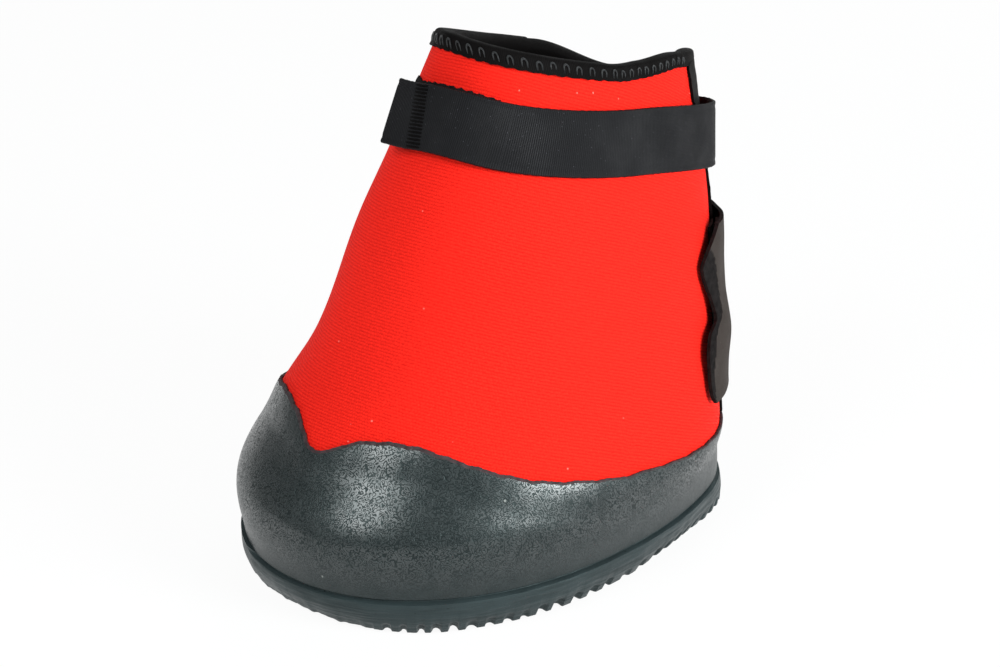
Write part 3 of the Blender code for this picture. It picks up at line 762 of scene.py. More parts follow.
def dress(piece: Piece, *finishes: "Finish") -> None:
    """Give a piece its materials, in the order of its slots.

    Args:
        piece: The piece.
        *finishes: Its finishes.
    """
    materials = piece.data.materials
    for index, finish in enumerate(finishes):
        if index == len(materials):
            materials.append(None)
        materials[index] = finish.material()
    LOG.info("%s: %d faces", piece.name, len(piece.data.polygons))


class Desk:
    """Adds and joins the nodes of one material or node group."""

    def __init__(self, tree: bpy.types.NodeTree) -> None:
        """Start on a tree."""
        self.tree = tree

    def add(self, kind: str, settings: dict | None = None, **inputs: object) -> Node:
        """Add a node.

        Args:
            kind: Its type, without the ShaderNode in front.
            settings: Its own settings.
            **inputs: Values or sockets for its inputs.

        Returns:
            The node.
        """
        node = self.tree.nodes.new("ShaderNode" + kind)
        for key, value in (settings or {}).items():
            setattr(node, key, value)
        return self.give(node, **inputs)

    def give(self, node: Node, **inputs: object) -> Node:
        """Feed a node's inputs by their names, where _ stands for a space.

        Args:
            node: The node.
            **inputs: Values or sockets for its inputs.

        Returns:
            The node.
        """
        for key, value in inputs.items():
            self.feed(node.inputs[key.replace("_", " ")], value)
        return node

    def feed(self, socket: Socket, value: object) -> None:
        """Link a socket to another, or set its value.

        Args:
            socket: The socket.
            value: A value, or the other socket.
        """
        if isinstance(value, Socket):
            self.tree.links.new(value, socket)
        else:
            socket.default_value = value

    def math(self, operation: str, *values: object, clamp: bool = False) -> Socket:
        """Add a Math node and return its value.

        Args:
            operation: Its operation.
            *values: Values or sockets.
            clamp: Whether its result is kept within 0 and 1.

        Returns:
            The result.
        """
        node = self.add("Math", {"operation": operation, "use_clamp": clamp})
        for socket, value in zip(node.inputs, values):
            self.feed(socket, value)
        return node.outputs[0]

    def times(self, first: object, second: object) -> Socket:
        """Product of two values."""
        return self.math("MULTIPLY", first, second)

    def plus(self, first: object, second: object) -> Socket:
        """Sum of two values."""
        return self.math("ADD", first, second)

    def mix(self, share: object, first: object, second: object) -> Socket:
        """Mix two colours and return the result.

        Args:
            share: Share of the second colour.
            first: A colour.
            second: Another colour.

        Returns:
            The mixed colour.
        """
        node = self.add("Mix", {"data_type": "RGBA"})
        self.feed(node.inputs[0], share)
        self.feed(node.inputs[6], first)
        self.feed(node.inputs[7], second)
        return node.outputs[2]

    def span(
        self, value: object, low: float, high: float, to_low: float = 0.0, to_high: float = 1.0
    ) -> Socket:
        """Map a range of values smoothly to another.

        Args:
            value: The value.
            low: Where its range starts.
            high: Where its range ends.
            to_low: Result at the start.
            to_high: Result at the end.

        Returns:
            The result.
        """
        ends = {"From_Min": low, "From_Max": high, "To_Min": to_low, "To_Max": to_high}
        return self.add("MapRange", {"interpolation_type": "SMOOTHSTEP"}, Value=value, **ends).outputs[0]

    def noise(self, place: object, scale: float, detail: float = 2.0) -> Socket:
        """Add a noise and return its value."""
        return self.add("TexNoise", Vector=place, Scale=scale, Detail=detail).outputs["Fac"]

    def bump(self, height: object, strength: float, distance: float, before: object = None) -> Socket:
        """Bend the surface's normal by a height.

        Args:
            height: The height.
            strength: How much of it counts.
            distance: How far a height of 1 stands out.
            before: Normal that is already bent, or None.

        Returns:
            The bent normal.
        """
        normal = {} if before is None else {"Normal": before}
        return self.add("Bump", Height=height, Strength=strength, Distance=distance, **normal).outputs[0]


class Reading(NamedTuple):
    """What an effect gives at each place."""

    height: Socket
    mask: Socket


class Effect(Enum):
    """Shared surface effects, each a node group."""

    YARN = "Yarn Lines"
    RIBS = "Cloth Ribs"
    GRAIN = "Rubber Grain"
    LINT = "Lint"
    DRIFT = "Tone Drift"


GROUP_INPUTS: dict[Effect, tuple[tuple[str, float], ...]] = {
    Effect.YARN: (("Pitch", 0.0012), ("Wobble", 0.15)),
    Effect.RIBS: (("Pitch", 0.0008), ("Weft", 0.0006)),
    Effect.GRAIN: (("Scale", 620.0), ("Sharpness", 0.5)),
    Effect.LINT: (("Scale", 300.0), ("Amount", 0.05)),
    Effect.DRIFT: (("Scale", 30.0), ("Contrast", 1.0)),
}


def build_yarn(desk: Desk, place: object, pitch: object, wobble: object) -> tuple[object, object]:
    """Courses of a knit face: rounded lines with stitches along them.

    Args:
        desk: Desk on the group's tree.
        place: Cloth coordinates.
        pitch: Distance between courses.
        wobble: How far they wander.

    Returns:
        Height and mask.
    """
    parts = desk.add("SeparateXYZ", Vector=place)
    drift = desk.times(desk.noise(place, 420.0), wobble)
    line = desk.plus(desk.math("DIVIDE", parts.outputs[1], pitch), drift)
    wave = desk.math("PINGPONG", line, 0.5)
    stitch_pitch = desk.times(pitch, 0.9)
    skip = desk.times(desk.math("FLOOR", line), 0.5)
    stitch = desk.math("PINGPONG", desk.plus(desk.math("DIVIDE", parts.outputs[0], stitch_pitch), skip), 0.5)
    uneven = desk.times(desk.noise(place, 1500.0, 1.0), 0.9)
    height = desk.plus(desk.times(wave, 1.5), desk.plus(stitch, uneven))
    tuft = desk.plus(desk.times(stitch, 0.6), uneven)
    return height, desk.span(desk.plus(wave, tuft), 0.4, 1.05)


def build_ribs(desk: Desk, place: object, pitch: object, weft: object) -> tuple[object, object]:
    """Crosswise ribs of a woven tape, with finer threads across them.

    Args:
        desk: Desk on the group's tree.
        place: Cloth coordinates.
        pitch: Distance between ribs.
        weft: Distance between the finer threads.

    Returns:
        Height and mask.
    """
    parts = desk.add("SeparateXYZ", Vector=place)
    drift = desk.times(desk.noise(place, 420.0), 0.35)
    rib = desk.math("PINGPONG", desk.plus(desk.math("DIVIDE", parts.outputs[0], pitch), drift), 0.5)
    thread = desk.math("PINGPONG", desk.plus(desk.math("DIVIDE", parts.outputs[1], weft), drift), 0.5)
    height = desk.plus(desk.times(rib, 1.6), desk.times(thread, 0.4))
    return height, desk.span(rib, 0.0, 0.3)


def build_grain(desk: Desk, place: object, scale: object, sharpness: object) -> tuple[object, object]:
    """Leather grain: winding ridges with narrow valleys.

    Args:
        desk: Desk on the group's tree.
        place: Object coordinates.
        scale: Scale of the folds.
        sharpness: How much the fine grain stands out.

    Returns:
        Height and mask.
    """
    field_noise = desk.add("TexNoise", Vector=place, Scale=scale, Detail=0.4, Roughness=0.3).outputs["Fac"]
    fine = desk.add("TexNoise", Vector=place, Scale=desk.times(scale, 3.0), Detail=2.0).outputs["Fac"]
    fold = desk.math("PINGPONG", desk.times(field_noise, 4.0), 0.5)
    ridge = desk.span(desk.plus(fold, desk.times(fine, 0.08)), 0.16, 0.34)
    height = desk.plus(ridge, desk.times(fine, sharpness))
    return height, ridge


def build_lint(desk: Desk, place: object, scale: object, amount: object) -> tuple[object, object]:
    """Small scattered specks.

    Args:
        desk: Desk on the group's tree.
        place: Cloth or object coordinates.
        scale: Scale of the cells.
        amount: Share of the cells with a speck.

    Returns:
        Height and mask, both the same.
    """
    cells = desk.add("TexVoronoi", Vector=place, Scale=scale)
    parts = desk.add("SeparateColor", Color=cells.outputs["Color"])
    chosen = desk.math("LESS_THAN", parts.outputs[0], amount)
    dot = desk.span(cells.outputs["Distance"], 0.22, 0.08)
    mask = desk.times(chosen, dot)
    return mask, mask


def build_drift(desk: Desk, place: object, scale: object, contrast: object) -> tuple[object, object]:
    """Slow change of tone.

    Args:
        desk: Desk on the group's tree.
        place: Cloth or object coordinates.
        scale: Scale of the change.
        contrast: Its strength.

    Returns:
        Height and mask, both the same.
    """
    slow = desk.add("TexNoise", Vector=place, Scale=scale, Detail=3.0).outputs["Fac"]
    centred = desk.times(desk.math("SUBTRACT", slow, 0.5), contrast)
    value = desk.math("ADD", centred, 0.5, clamp=True)
    return value, value


BUILDERS: dict[Effect, Callable[..., tuple[object, object]]] = {
    Effect.YARN: build_yarn,
    Effect.RIBS: build_ribs,
    Effect.GRAIN: build_grain,
    Effect.LINT: build_lint,
    Effect.DRIFT: build_drift,
}


def effect_group(effect: Effect) -> bpy.types.NodeTree:
    """The node group of an effect, built the first time.

    Args:
        effect: The effect.

    Returns:
        A group with a vector and the effect's numbers in, height and mask out.
    """
    found = bpy.data.node_groups.get(effect.value)
    if found:
        return found
    tree = bpy.data.node_groups.new(effect.value, "ShaderNodeTree")
    tree.interface.new_socket("Vector", in_out="INPUT", socket_type="NodeSocketVector")
    for name, value in GROUP_INPUTS[effect]:
        socket = tree.interface.new_socket(name, in_out="INPUT", socket_type="NodeSocketFloat")
        socket.default_value = value
    for name in ("Height", "Mask"):
        tree.interface.new_socket(name, in_out="OUTPUT", socket_type="NodeSocketFloat")
    desk = Desk(tree)
    entry = tree.nodes.new("NodeGroupInput")
    height, mask = BUILDERS[effect](desk, *entry.outputs[:3])
    leave = tree.nodes.new("NodeGroupOutput")
    desk.feed(leave.inputs[0], height)
    desk.feed(leave.inputs[1], mask)
    return tree


@dataclass(frozen=True)
class Finish:
    """A material: a plain Principled shader with its own colour and gloss."""

    name: str
    slot: str
    colour: Triple
    roughness: float = 0.7
    specular: float = 0.5
    sheen: float = 0.0
    sheen_roughness: float = 0.4
    uses_uv: bool = True
    gloss: Triple = (1.0, 1.0, 1.0)

    def material(self) -> bpy.types.Material:
        """The material, built the first time.

        Returns:
            The material.
        """
        found = bpy.data.materials.get(self.name)
        if found:
            return found
        material = bpy.data.materials.new(self.name)
        material.use_nodes = True
        desk = Desk(material.node_tree)
        shader = material.node_tree.nodes["Principled BSDF"]
        desk.give(shader, Base_Color=(*self.colour, 1.0), Roughness=self.roughness)
        desk.give(shader, Specular_IOR_Level=self.specular, Specular_Tint=(*self.gloss, 1.0))
        desk.give(shader, Sheen_Weight=self.sheen, Sheen_Roughness=self.sheen_roughness)
        coordinates = desk.add("TexCoord")
        place = coordinates.outputs["UV" if self.uses_uv else "Object"]
        self.paint(desk, shader, place, coordinates.outputs["Object"])
        return material

    def paint(self, desk: Desk, shader: Node, place: object, solid: object) -> None:
        """Add the surface's detail.

        Args:
            desk: Desk on the material's tree.
            shader: Its Principled shader.
            place: The finish's own coordinates.
            solid: Object coordinates.
        """
        drift = self.effect(desk, Effect.DRIFT, solid, Scale=90.0, Contrast=1.2)
        self.tint(desk, shader, drift.mask, 0.75, 1.15)
        grain = desk.noise(solid, 1400.0, 3.0)
        desk.give(shader, Normal=desk.bump(grain, 0.4, 0.2 * MM))

    def effect(self, desk: Desk, effect: Effect, place: object, **numbers: float) -> Reading:
        """Place an effect's group with this finish's numbers."""
        node = desk.add("Group", {"node_tree": effect_group(effect)}, Vector=place, **numbers)
        return Reading(*node.outputs)

    def shade(self, factor: float) -> tuple[float, float, float, float]:
        """This finish's colour, darker or lighter."""
        return (*(min(part * factor, 1.0) for part in self.colour), 1.0)

    def tint(self, desk: Desk, shader: Node, mask: object, low: float, high: float) -> None:
        """Vary the colour between a darker and a lighter one by a mask."""
        desk.give(shader, Base_Color=desk.mix(mask, self.shade(low), self.shade(high)))


@dataclass(frozen=True)
class KnitFinish(Finish):
    """Knit face of the neoprene, with fine courses, painted shade in the gaps between them and a little lint.
    """

    pitch: float = 1.22 * MM
    # The valley colour is painted shade, darkening the gaps between the courses.
    valley_shade: Triple = (0.6, 0.004, 0.002)
    lint: Triple = (0.95, 0.3, 0.25)

    def paint(self, desk: Desk, shader: Node, place: object, solid: object) -> None:
        """Add courses with painted shade in their gaps, drift and lint, as Finish.paint says.

        Args:
            desk: Desk on the material's tree.
            shader: Its Principled shader.
            place: The finish's own coordinates.
            solid: Object coordinates.
        """
        yarn = self.effect(desk, Effect.YARN, place, Pitch=self.pitch, Wobble=0.45)
        drift = self.effect(desk, Effect.DRIFT, solid, Scale=28.0, Contrast=1.6)
        mottle = self.effect(desk, Effect.DRIFT, place, Scale=950.0, Contrast=2.6)
        specks = self.effect(desk, Effect.LINT, place, Scale=430.0, Amount=0.007)
        fuzz = desk.noise(solid, 2600.0, 2.0)
        # Painted shade: the gaps between the courses take the darker valley colour.
        lines = desk.mix(yarn.mask, (*self.valley_shade, 1.0), self.shade(1.0))
        # Random mottle darkens patches further towards the painted valley shade.
        worn = desk.mix(desk.times(mottle.mask, 0.45), lines, (*self.valley_shade, 1.0))
        toned = desk.mix(desk.times(drift.mask, 0.12), worn, self.shade(0.8))
        tiny = desk.times(specks.mask, 0.6)
        desk.give(shader, Base_Color=desk.mix(tiny, toned, (*self.lint, 1.0)))
        first = desk.bump(yarn.height, 0.5, 0.2 * MM)
        desk.give(shader, Normal=desk.bump(fuzz, 0.3, 0.12 * MM, first))


@dataclass(frozen=True)
class TapeFinish(Finish):
    """Woven tape or elastic webbing, ribbed crosswise, with painted shade between the ribs, painted patches
    of satin sheen and light flecks painted as glints.
    """

    pitch: float = 0.8 * MM
    weft: float = 0.55 * MM
    relief: float = 0.26 * MM
    # Strength of the light flecks, which are painted glints of the fibres.
    glint_fleck: float = 0.75

    def paint(self, desk: Desk, shader: Node, place: object, solid: object) -> None:
        """Add ribs with painted shade between them, flecks painted as glints and drift painted as patches of
        satin sheen, as Finish.paint says.

        Args:
            desk: Desk on the material's tree.
            shader: Its Principled shader.
            place: The finish's own coordinates.
            solid: Object coordinates.
        """
        ribs = self.effect(desk, Effect.RIBS, place, Pitch=self.pitch, Weft=self.weft)
        drift = self.effect(desk, Effect.DRIFT, solid, Scale=70.0, Contrast=1.6)
        flecks = self.effect(desk, Effect.LINT, place, Scale=900.0, Amount=0.16)
        # Painted shade: the grooves between the ribs are darker, the ribs lighter.
        body = desk.mix(ribs.mask, self.shade(0.3), self.shade(1.4))
        # Drift darkens random patches and leaves lighter ones: painted patches of satin sheen.
        toned = desk.mix(desk.times(drift.mask, 0.4), body, self.shade(0.6))
        # Painted glints: light flecks scattered over the tape.
        lit = desk.times(flecks.mask, self.glint_fleck)
        desk.give(shader, Base_Color=desk.mix(lit, toned, self.shade(7.5)))
        rough = desk.span(drift.mask, 0.2, 0.8, self.roughness - 0.06, self.roughness + 0.08)
        desk.give(shader, Roughness=rough)
        desk.give(shader, Normal=desk.bump(ribs.height, 0.6, self.relief))


@dataclass(frozen=True)
class FuzzFinish(Finish):
    """Hook or loop tape: matt, with a broken fibrous surface."""

    scale: float = 1500.0

    def paint(self, desk: Desk, shader: Node, place: object, solid: object) -> None:
        """Add fibres, as Finish.paint says.

        Args:
            desk: Desk on the material's tree.
            shader: Its Principled shader.
            place: The finish's own coordinates.
            solid: Object coordinates.
        """
        fibres = desk.noise(solid, self.scale, 4.0)
        clumps = self.effect(desk, Effect.DRIFT, solid, Scale=420.0, Contrast=2.0)
        self.tint(desk, shader, clumps.mask, 0.45, 1.7)
        first = desk.bump(clumps.height, 0.7, 0.5 * MM)
        desk.give(shader, Normal=desk.bump(fibres, 0.8, 0.25 * MM, first))


@dataclass(frozen=True)
class ShellFinish(Finish):
    """Leather-grained rubber with polished ridges and painted shade in the grain's valleys, smoother towards
    the sole.
    """

    uses_uv: bool = False
    grain_scale: float = 660.0
    polish: float = 1.0
    polish_roughness: float = 0.27
    polish_ior: float = 1.64
    relief: float = 0.14 * MM

    def paint(self, desk: Desk, shader: Node, place: object, solid: object) -> None:
        """Add grain with painted shade in its valleys, dust and wear, as Finish.paint says.

        Args:
            desk: Desk on the material's tree.
            shader: Its Principled shader.
            place: The finish's own coordinates.
            solid: Object coordinates.
        """
        height = desk.add("SeparateXYZ", Vector=solid).outputs[2]
        upper = desk.span(height, 0.016, 0.04)
        grain = self.effect(desk, Effect.GRAIN, solid, Scale=self.grain_scale, Sharpness=0.4)
        drift = self.effect(desk, Effect.DRIFT, solid, Scale=26.0, Contrast=2.4)
        dust = self.effect(desk, Effect.LINT, solid, Scale=330.0, Amount=0.012)
        smear = desk.noise(solid, 130.0, 4.0)
        plain = desk.times(desk.math("SUBTRACT", 1.0, upper), 0.32)
        ridges = desk.plus(desk.times(grain.mask, upper), plain)
        # Painted shade: the grain's valleys are darker and its ridges lighter.
        ridged = desk.mix(grain.mask, self.shade(0.45), self.shade(1.2))
        toned = desk.mix(desk.times(drift.mask, 0.35), ridged, self.shade(1.7))
        lint = desk.times(dust.mask, 0.6)
        desk.give(shader, Base_Color=desk.mix(lint, toned, (0.35, 0.36, 0.34, 1.0)))
        coat = desk.times(ridges, desk.span(smear, 0.25, 0.7, 0.45, 1.0))
        desk.give(shader, Coat_Weight=desk.times(coat, self.polish))
        desk.give(shader, Coat_Roughness=self.polish_roughness, Coat_IOR=self.polish_ior)
        rough = desk.span(smear, 0.3, 0.7, self.roughness - 0.05, self.roughness + 0.08)
        desk.give(shader, Roughness=rough)
        relief = desk.times(grain.height, desk.plus(desk.times(upper, 0.7), 0.3))
        first = desk.bump(relief, 1.0, self.relief)
        desk.give(shader, Normal=desk.bump(smear, 0.3, 0.4 * MM, first))


@dataclass(frozen=True)
class SoleFinish(Finish):
    """Moulded rubber with level streaks, small pits and pale dust, and painted shade in its grooves and pits.
    """

    uses_uv: bool = False

    def paint(self, desk: Desk, shader: Node, place: object, solid: object) -> None:
        """Add streaks, pits and dust, with painted shade in the grooves and pits, as Finish.paint says.

        Args:
            desk: Desk on the material's tree.
            shader: Its Principled shader.
            place: The finish's own coordinates.
            solid: Object coordinates.
        """
        stretch = desk.add("Mapping", Vector=solid, Scale=(0.09, 0.09, 1.0)).outputs[0]
        streaks = desk.noise(stretch, 700.0, 4.0)
        grooves = desk.span(desk.noise(stretch, 330.0, 1.0), 0.56, 0.68)
        pits = self.effect(desk, Effect.LINT, solid, Scale=520.0, Amount=0.07)
        drift = self.effect(desk, Effect.DRIFT, solid, Scale=70.0, Contrast=2.2)
        fine = desk.noise(solid, 1500.0, 4.0)
        toned = desk.mix(streaks, self.shade(0.45), self.shade(1.6))
        # Painted shade: the sunken grooves are darker.
        lined = desk.mix(desk.times(grooves, 0.45), toned, self.shade(0.35))
        dusty = desk.mix(desk.times(drift.mask, 0.4), lined, self.shade(1.7))
        # Painted shade: the sunken pits are nearly black.
        desk.give(shader, Base_Color=desk.mix(pits.mask, dusty, self.shade(0.15)))
        rough = desk.span(streaks, 0.25, 0.75, self.roughness + 0.1, self.roughness - 0.12)
        desk.give(shader, Roughness=rough)
        first = desk.bump(streaks, 0.7, 0.7 * MM)
        second = desk.bump(pits.mask, -0.9, 0.5 * MM, first)
        third = desk.bump(grooves, -0.7, 0.5 * MM, second)
        desk.give(shader, Normal=desk.bump(fine, 0.45, 0.22 * MM, third))


RED = KnitFinish("Red knit neoprene", "red_neoprene", (0.94, 0.0215, 0.0105), 0.85, 0.09, 0.02, 0.5)
LINING = KnitFinish(
    "Black jersey lining", "red_neoprene", (0.018, 0.018, 0.02), 0.85, 0.25, 0.2, 0.5,
    # The lining's valley colour is painted shade in the gaps between its courses.
    pitch=0.9 * MM, valley_shade=(0.004, 0.004, 0.005), lint=(0.1, 0.1, 0.1),
)
BINDING = TapeFinish(
    "Ribbed binding tape", "black_binding", (0.004, 0.0034, 0.0034), 0.6, 0.045, 0.0, 0.4,
    pitch=0.68 * MM, weft=0.6 * MM, relief=0.28 * MM, glint_fleck=0.12,
)
WEBBING = TapeFinish("Elastic webbing", "black_webbing", (0.008, 0.008, 0.0092), 0.52, 0.085, 0.0, 0.35)
TAB_CLOTH = TapeFinish("Tab tape", "black_webbing", (0.039, 0.031, 0.0275), 0.7, 0.09, 0.0, 0.35, glint_fleck=0.2)
THREAD = TapeFinish(
    "Black sewing thread", "black_binding", (0.012, 0.0135, 0.015), 0.34, 0.5, 0.0, 0.4,
    pitch=0.5 * MM, relief=0.1 * MM,
)
FUZZ = FuzzFinish("Hook and loop tape", "hook_loop_tape", (0.009, 0.0075, 0.0075), 0.95, 0.08, 0.0, 0.5)
SHELL = ShellFinish(
    "Grained shell rubber", "shell_rubber", (0.0066, 0.0098, 0.0105), 0.44, 0.37, gloss=(0.8, 1.0, 1.0)
)
RAW_EDGE = FuzzFinish("Cut rubber edge", "shell_rubber", (0.035, 0.022, 0.024), 0.8, 0.3, scale=900.0)
SOLE = SoleFinish(
    "Moulded sole rubber", "sole_rubber", (0.0155, 0.0225, 0.0242), 0.5, 0.33, gloss=(0.8, 1.0, 1.0)
)
FOAM = Finish("Closed-cell foam", "insole_foam", (0.03, 0.03, 0.034), 0.9, 0.3, uses_uv=False)
BOARD = Finish("Fibre board", "insole_board", (0.32, 0.24, 0.16), 0.85, 0.3, uses_uv=False)
FELT = Finish("Filler felt", "filler_felt", (0.1, 0.09, 0.08), 0.95, 0.2, uses_uv=False)


def knit_uv(angles: Array, places: Array) -> Array:
    """Cloth coordinates whose courses slant as on the real upper.

    Args:
        angles: One angle a column.
        places: Points, first axis round the boot and second upwards.

    Returns:
        Coordinates along and across the courses, in metres.
    """
    middle = places[:, places.shape[1] // 2]
    run = np.concatenate([[0.0], np.cumsum(np.linalg.norm(np.diff(middle, axis=0), axis=1))])
    steps = np.linalg.norm(np.diff(places, axis=1), axis=-1)
    rise = np.concatenate([np.zeros((len(angles), 1)), np.cumsum(steps, axis=1)], axis=1)
    slant = np.tan(np.radians(curve(angles, KNIT_SLANTS)))
    drop = np.concatenate([[0.0], np.cumsum(np.diff(run) * (slant[1:] + slant[:-1]) / 2)])
    return np.stack([np.broadcast_to(run[:, None], rise.shape), rise + drop[:, None]], axis=-1)


@dataclass
class RedUpper:
    """The neoprene round the foot: front panel, buried heel piece and heel flap."""

    columns_per_degree: float = 1.15
    buried_rows: int = 18
    open_rows: int = 56
    wave: float = 0.45 * MM
    blend_before: float = 3 * MM
    blend_after: float = 17 * MM
    flap_out: Triple = (0.0, 0.965, -0.261)
    waves: Window = Window(0.0, 0.12, 0.8, 0.25)
    front_span: float = 242.0
    heel_span: float = 118.0

    def swell(self, angles: Array, levels: Array) -> Array:
        """Soft waves of the cloth between the shell and the collar.

        Args:
            angles: Angles round the boot.
            levels: Levels of the same grid.

        Returns:
            Depths.
        """
        top = np.where(angles > WALL.slit_angle, WALL.flap_collar(angles), WALL.collar(angles))
        share = (levels - WALL.rim(angles)) / (top - WALL.rim(angles))
        first = np.sin(np.radians(angles * 3.1) + 9 * share)
        second = np.sin(np.radians(angles * 7.3 + 40) - 14 * share)
        return self.wave * self.waves.at(share) * (0.65 * first + 0.35 * second)

    def panel(self, name: str, angles: Array, levels: Array, face: Finish | None = None) -> Piece:
        """Model a panel of neoprene with its black lining.

        Args:
            name: Name of the piece.
            angles: Angles, as a grid of columns by rows.
            levels: Levels on the same grid.
            face: Finish of its outer face, or None for red.

        Returns:
            The piece.
        """
        depth = self.swell(angles, levels) - WALL.tuck(angles, levels)
        places = WALL.layer(angles, levels, depth)
        piece = wrap(name, places, uv=knit_uv(angles[:, angles.shape[1] // 2], places))
        middle = angles[0, 0], levels[0, 0]
        thicken(piece, WALL.neoprene, WALL.layer(*middle, 1.0) - WALL.layer(*middle, 0.0))
        smooth(piece)
        dress(piece, face or RED, LINING)
        return piece

    def grid(self, low: Callable, high: Callable, ends: Callable, rows: int) -> tuple[Array, Array]:
        """Angles and levels of a stretch of wall.

        Args:
            low: Level of its lower edge at given angles.
            high: Level of its upper edge at given angles.
            ends: Its first and last angles for a function of levels.
            rows: Its number of rows.

        Returns:
            Both as grids of columns by rows.
        """
        angles, levels = [], []
        for share in np.linspace(0, 1, rows):
            level_of = lambda a, s=share: low(a) + (high(a) - low(a)) * s
            start, end = ends(level_of)
            span = self.heel_span if start > 0 else self.front_span
            row = np.linspace(start, end, 2 + round(span * self.columns_per_degree))
            angles.append(row)
            levels.append(level_of(row))
        return np.array(angles).T, np.array(levels).T

    def hinge(self, level_of: Callable) -> float:
        """Angle at which a row meets the flap's hinge."""
        return float(WALL.hinge_at(level_of, 1)[0])

    def build(self) -> None:
        """Model and dress the three panels."""
        foot = lambda a: WALL.foot() + 0 * a
        front = lambda level_of: (self.hinge(level_of), WALL.slit_angle)
        buried = self.grid(foot, WALL.rim, front, self.buried_rows)
        shown = self.grid(WALL.rim, WALL.collar, front, self.open_rows)
        both = [np.concatenate([b, s[:, 1:]], axis=1) for b, s in zip(buried, shown)]
        upper = self.panel("red_upper", *both)
        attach(upper, Body.BOOT.value)
        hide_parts("upper_panel")
        behind = lambda level_of: (WALL.slit_angle + 0.15, 360 + self.hinge(level_of))
        heel = self.panel("buried_heel", *self.grid(foot, WALL.rim, behind, self.buried_rows), face=LINING)
        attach(heel, Body.BOOT.value)
        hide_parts("lower_heel_panel")
        slit = lambda level_of: float(WALL.flap_edge(level_of(np.array(WALL.slit_angle))))
        beyond = lambda level_of: (slit(level_of), 360 + self.hinge(level_of))
        flap = self.panel("heel_flap", *self.grid(WALL.hem, WALL.flap_collar, beyond, self.open_rows))
        self.swing(flap)
        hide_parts("heel_flap_panel")

    def swing(self, piece: Piece) -> None:
        """Bake a piece of the flap's transform into its mesh; the hinge's line is worked out but not used.

        Args:
            piece: The piece.
        """
        low, high = WALL.hinge_line()
        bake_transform(piece)


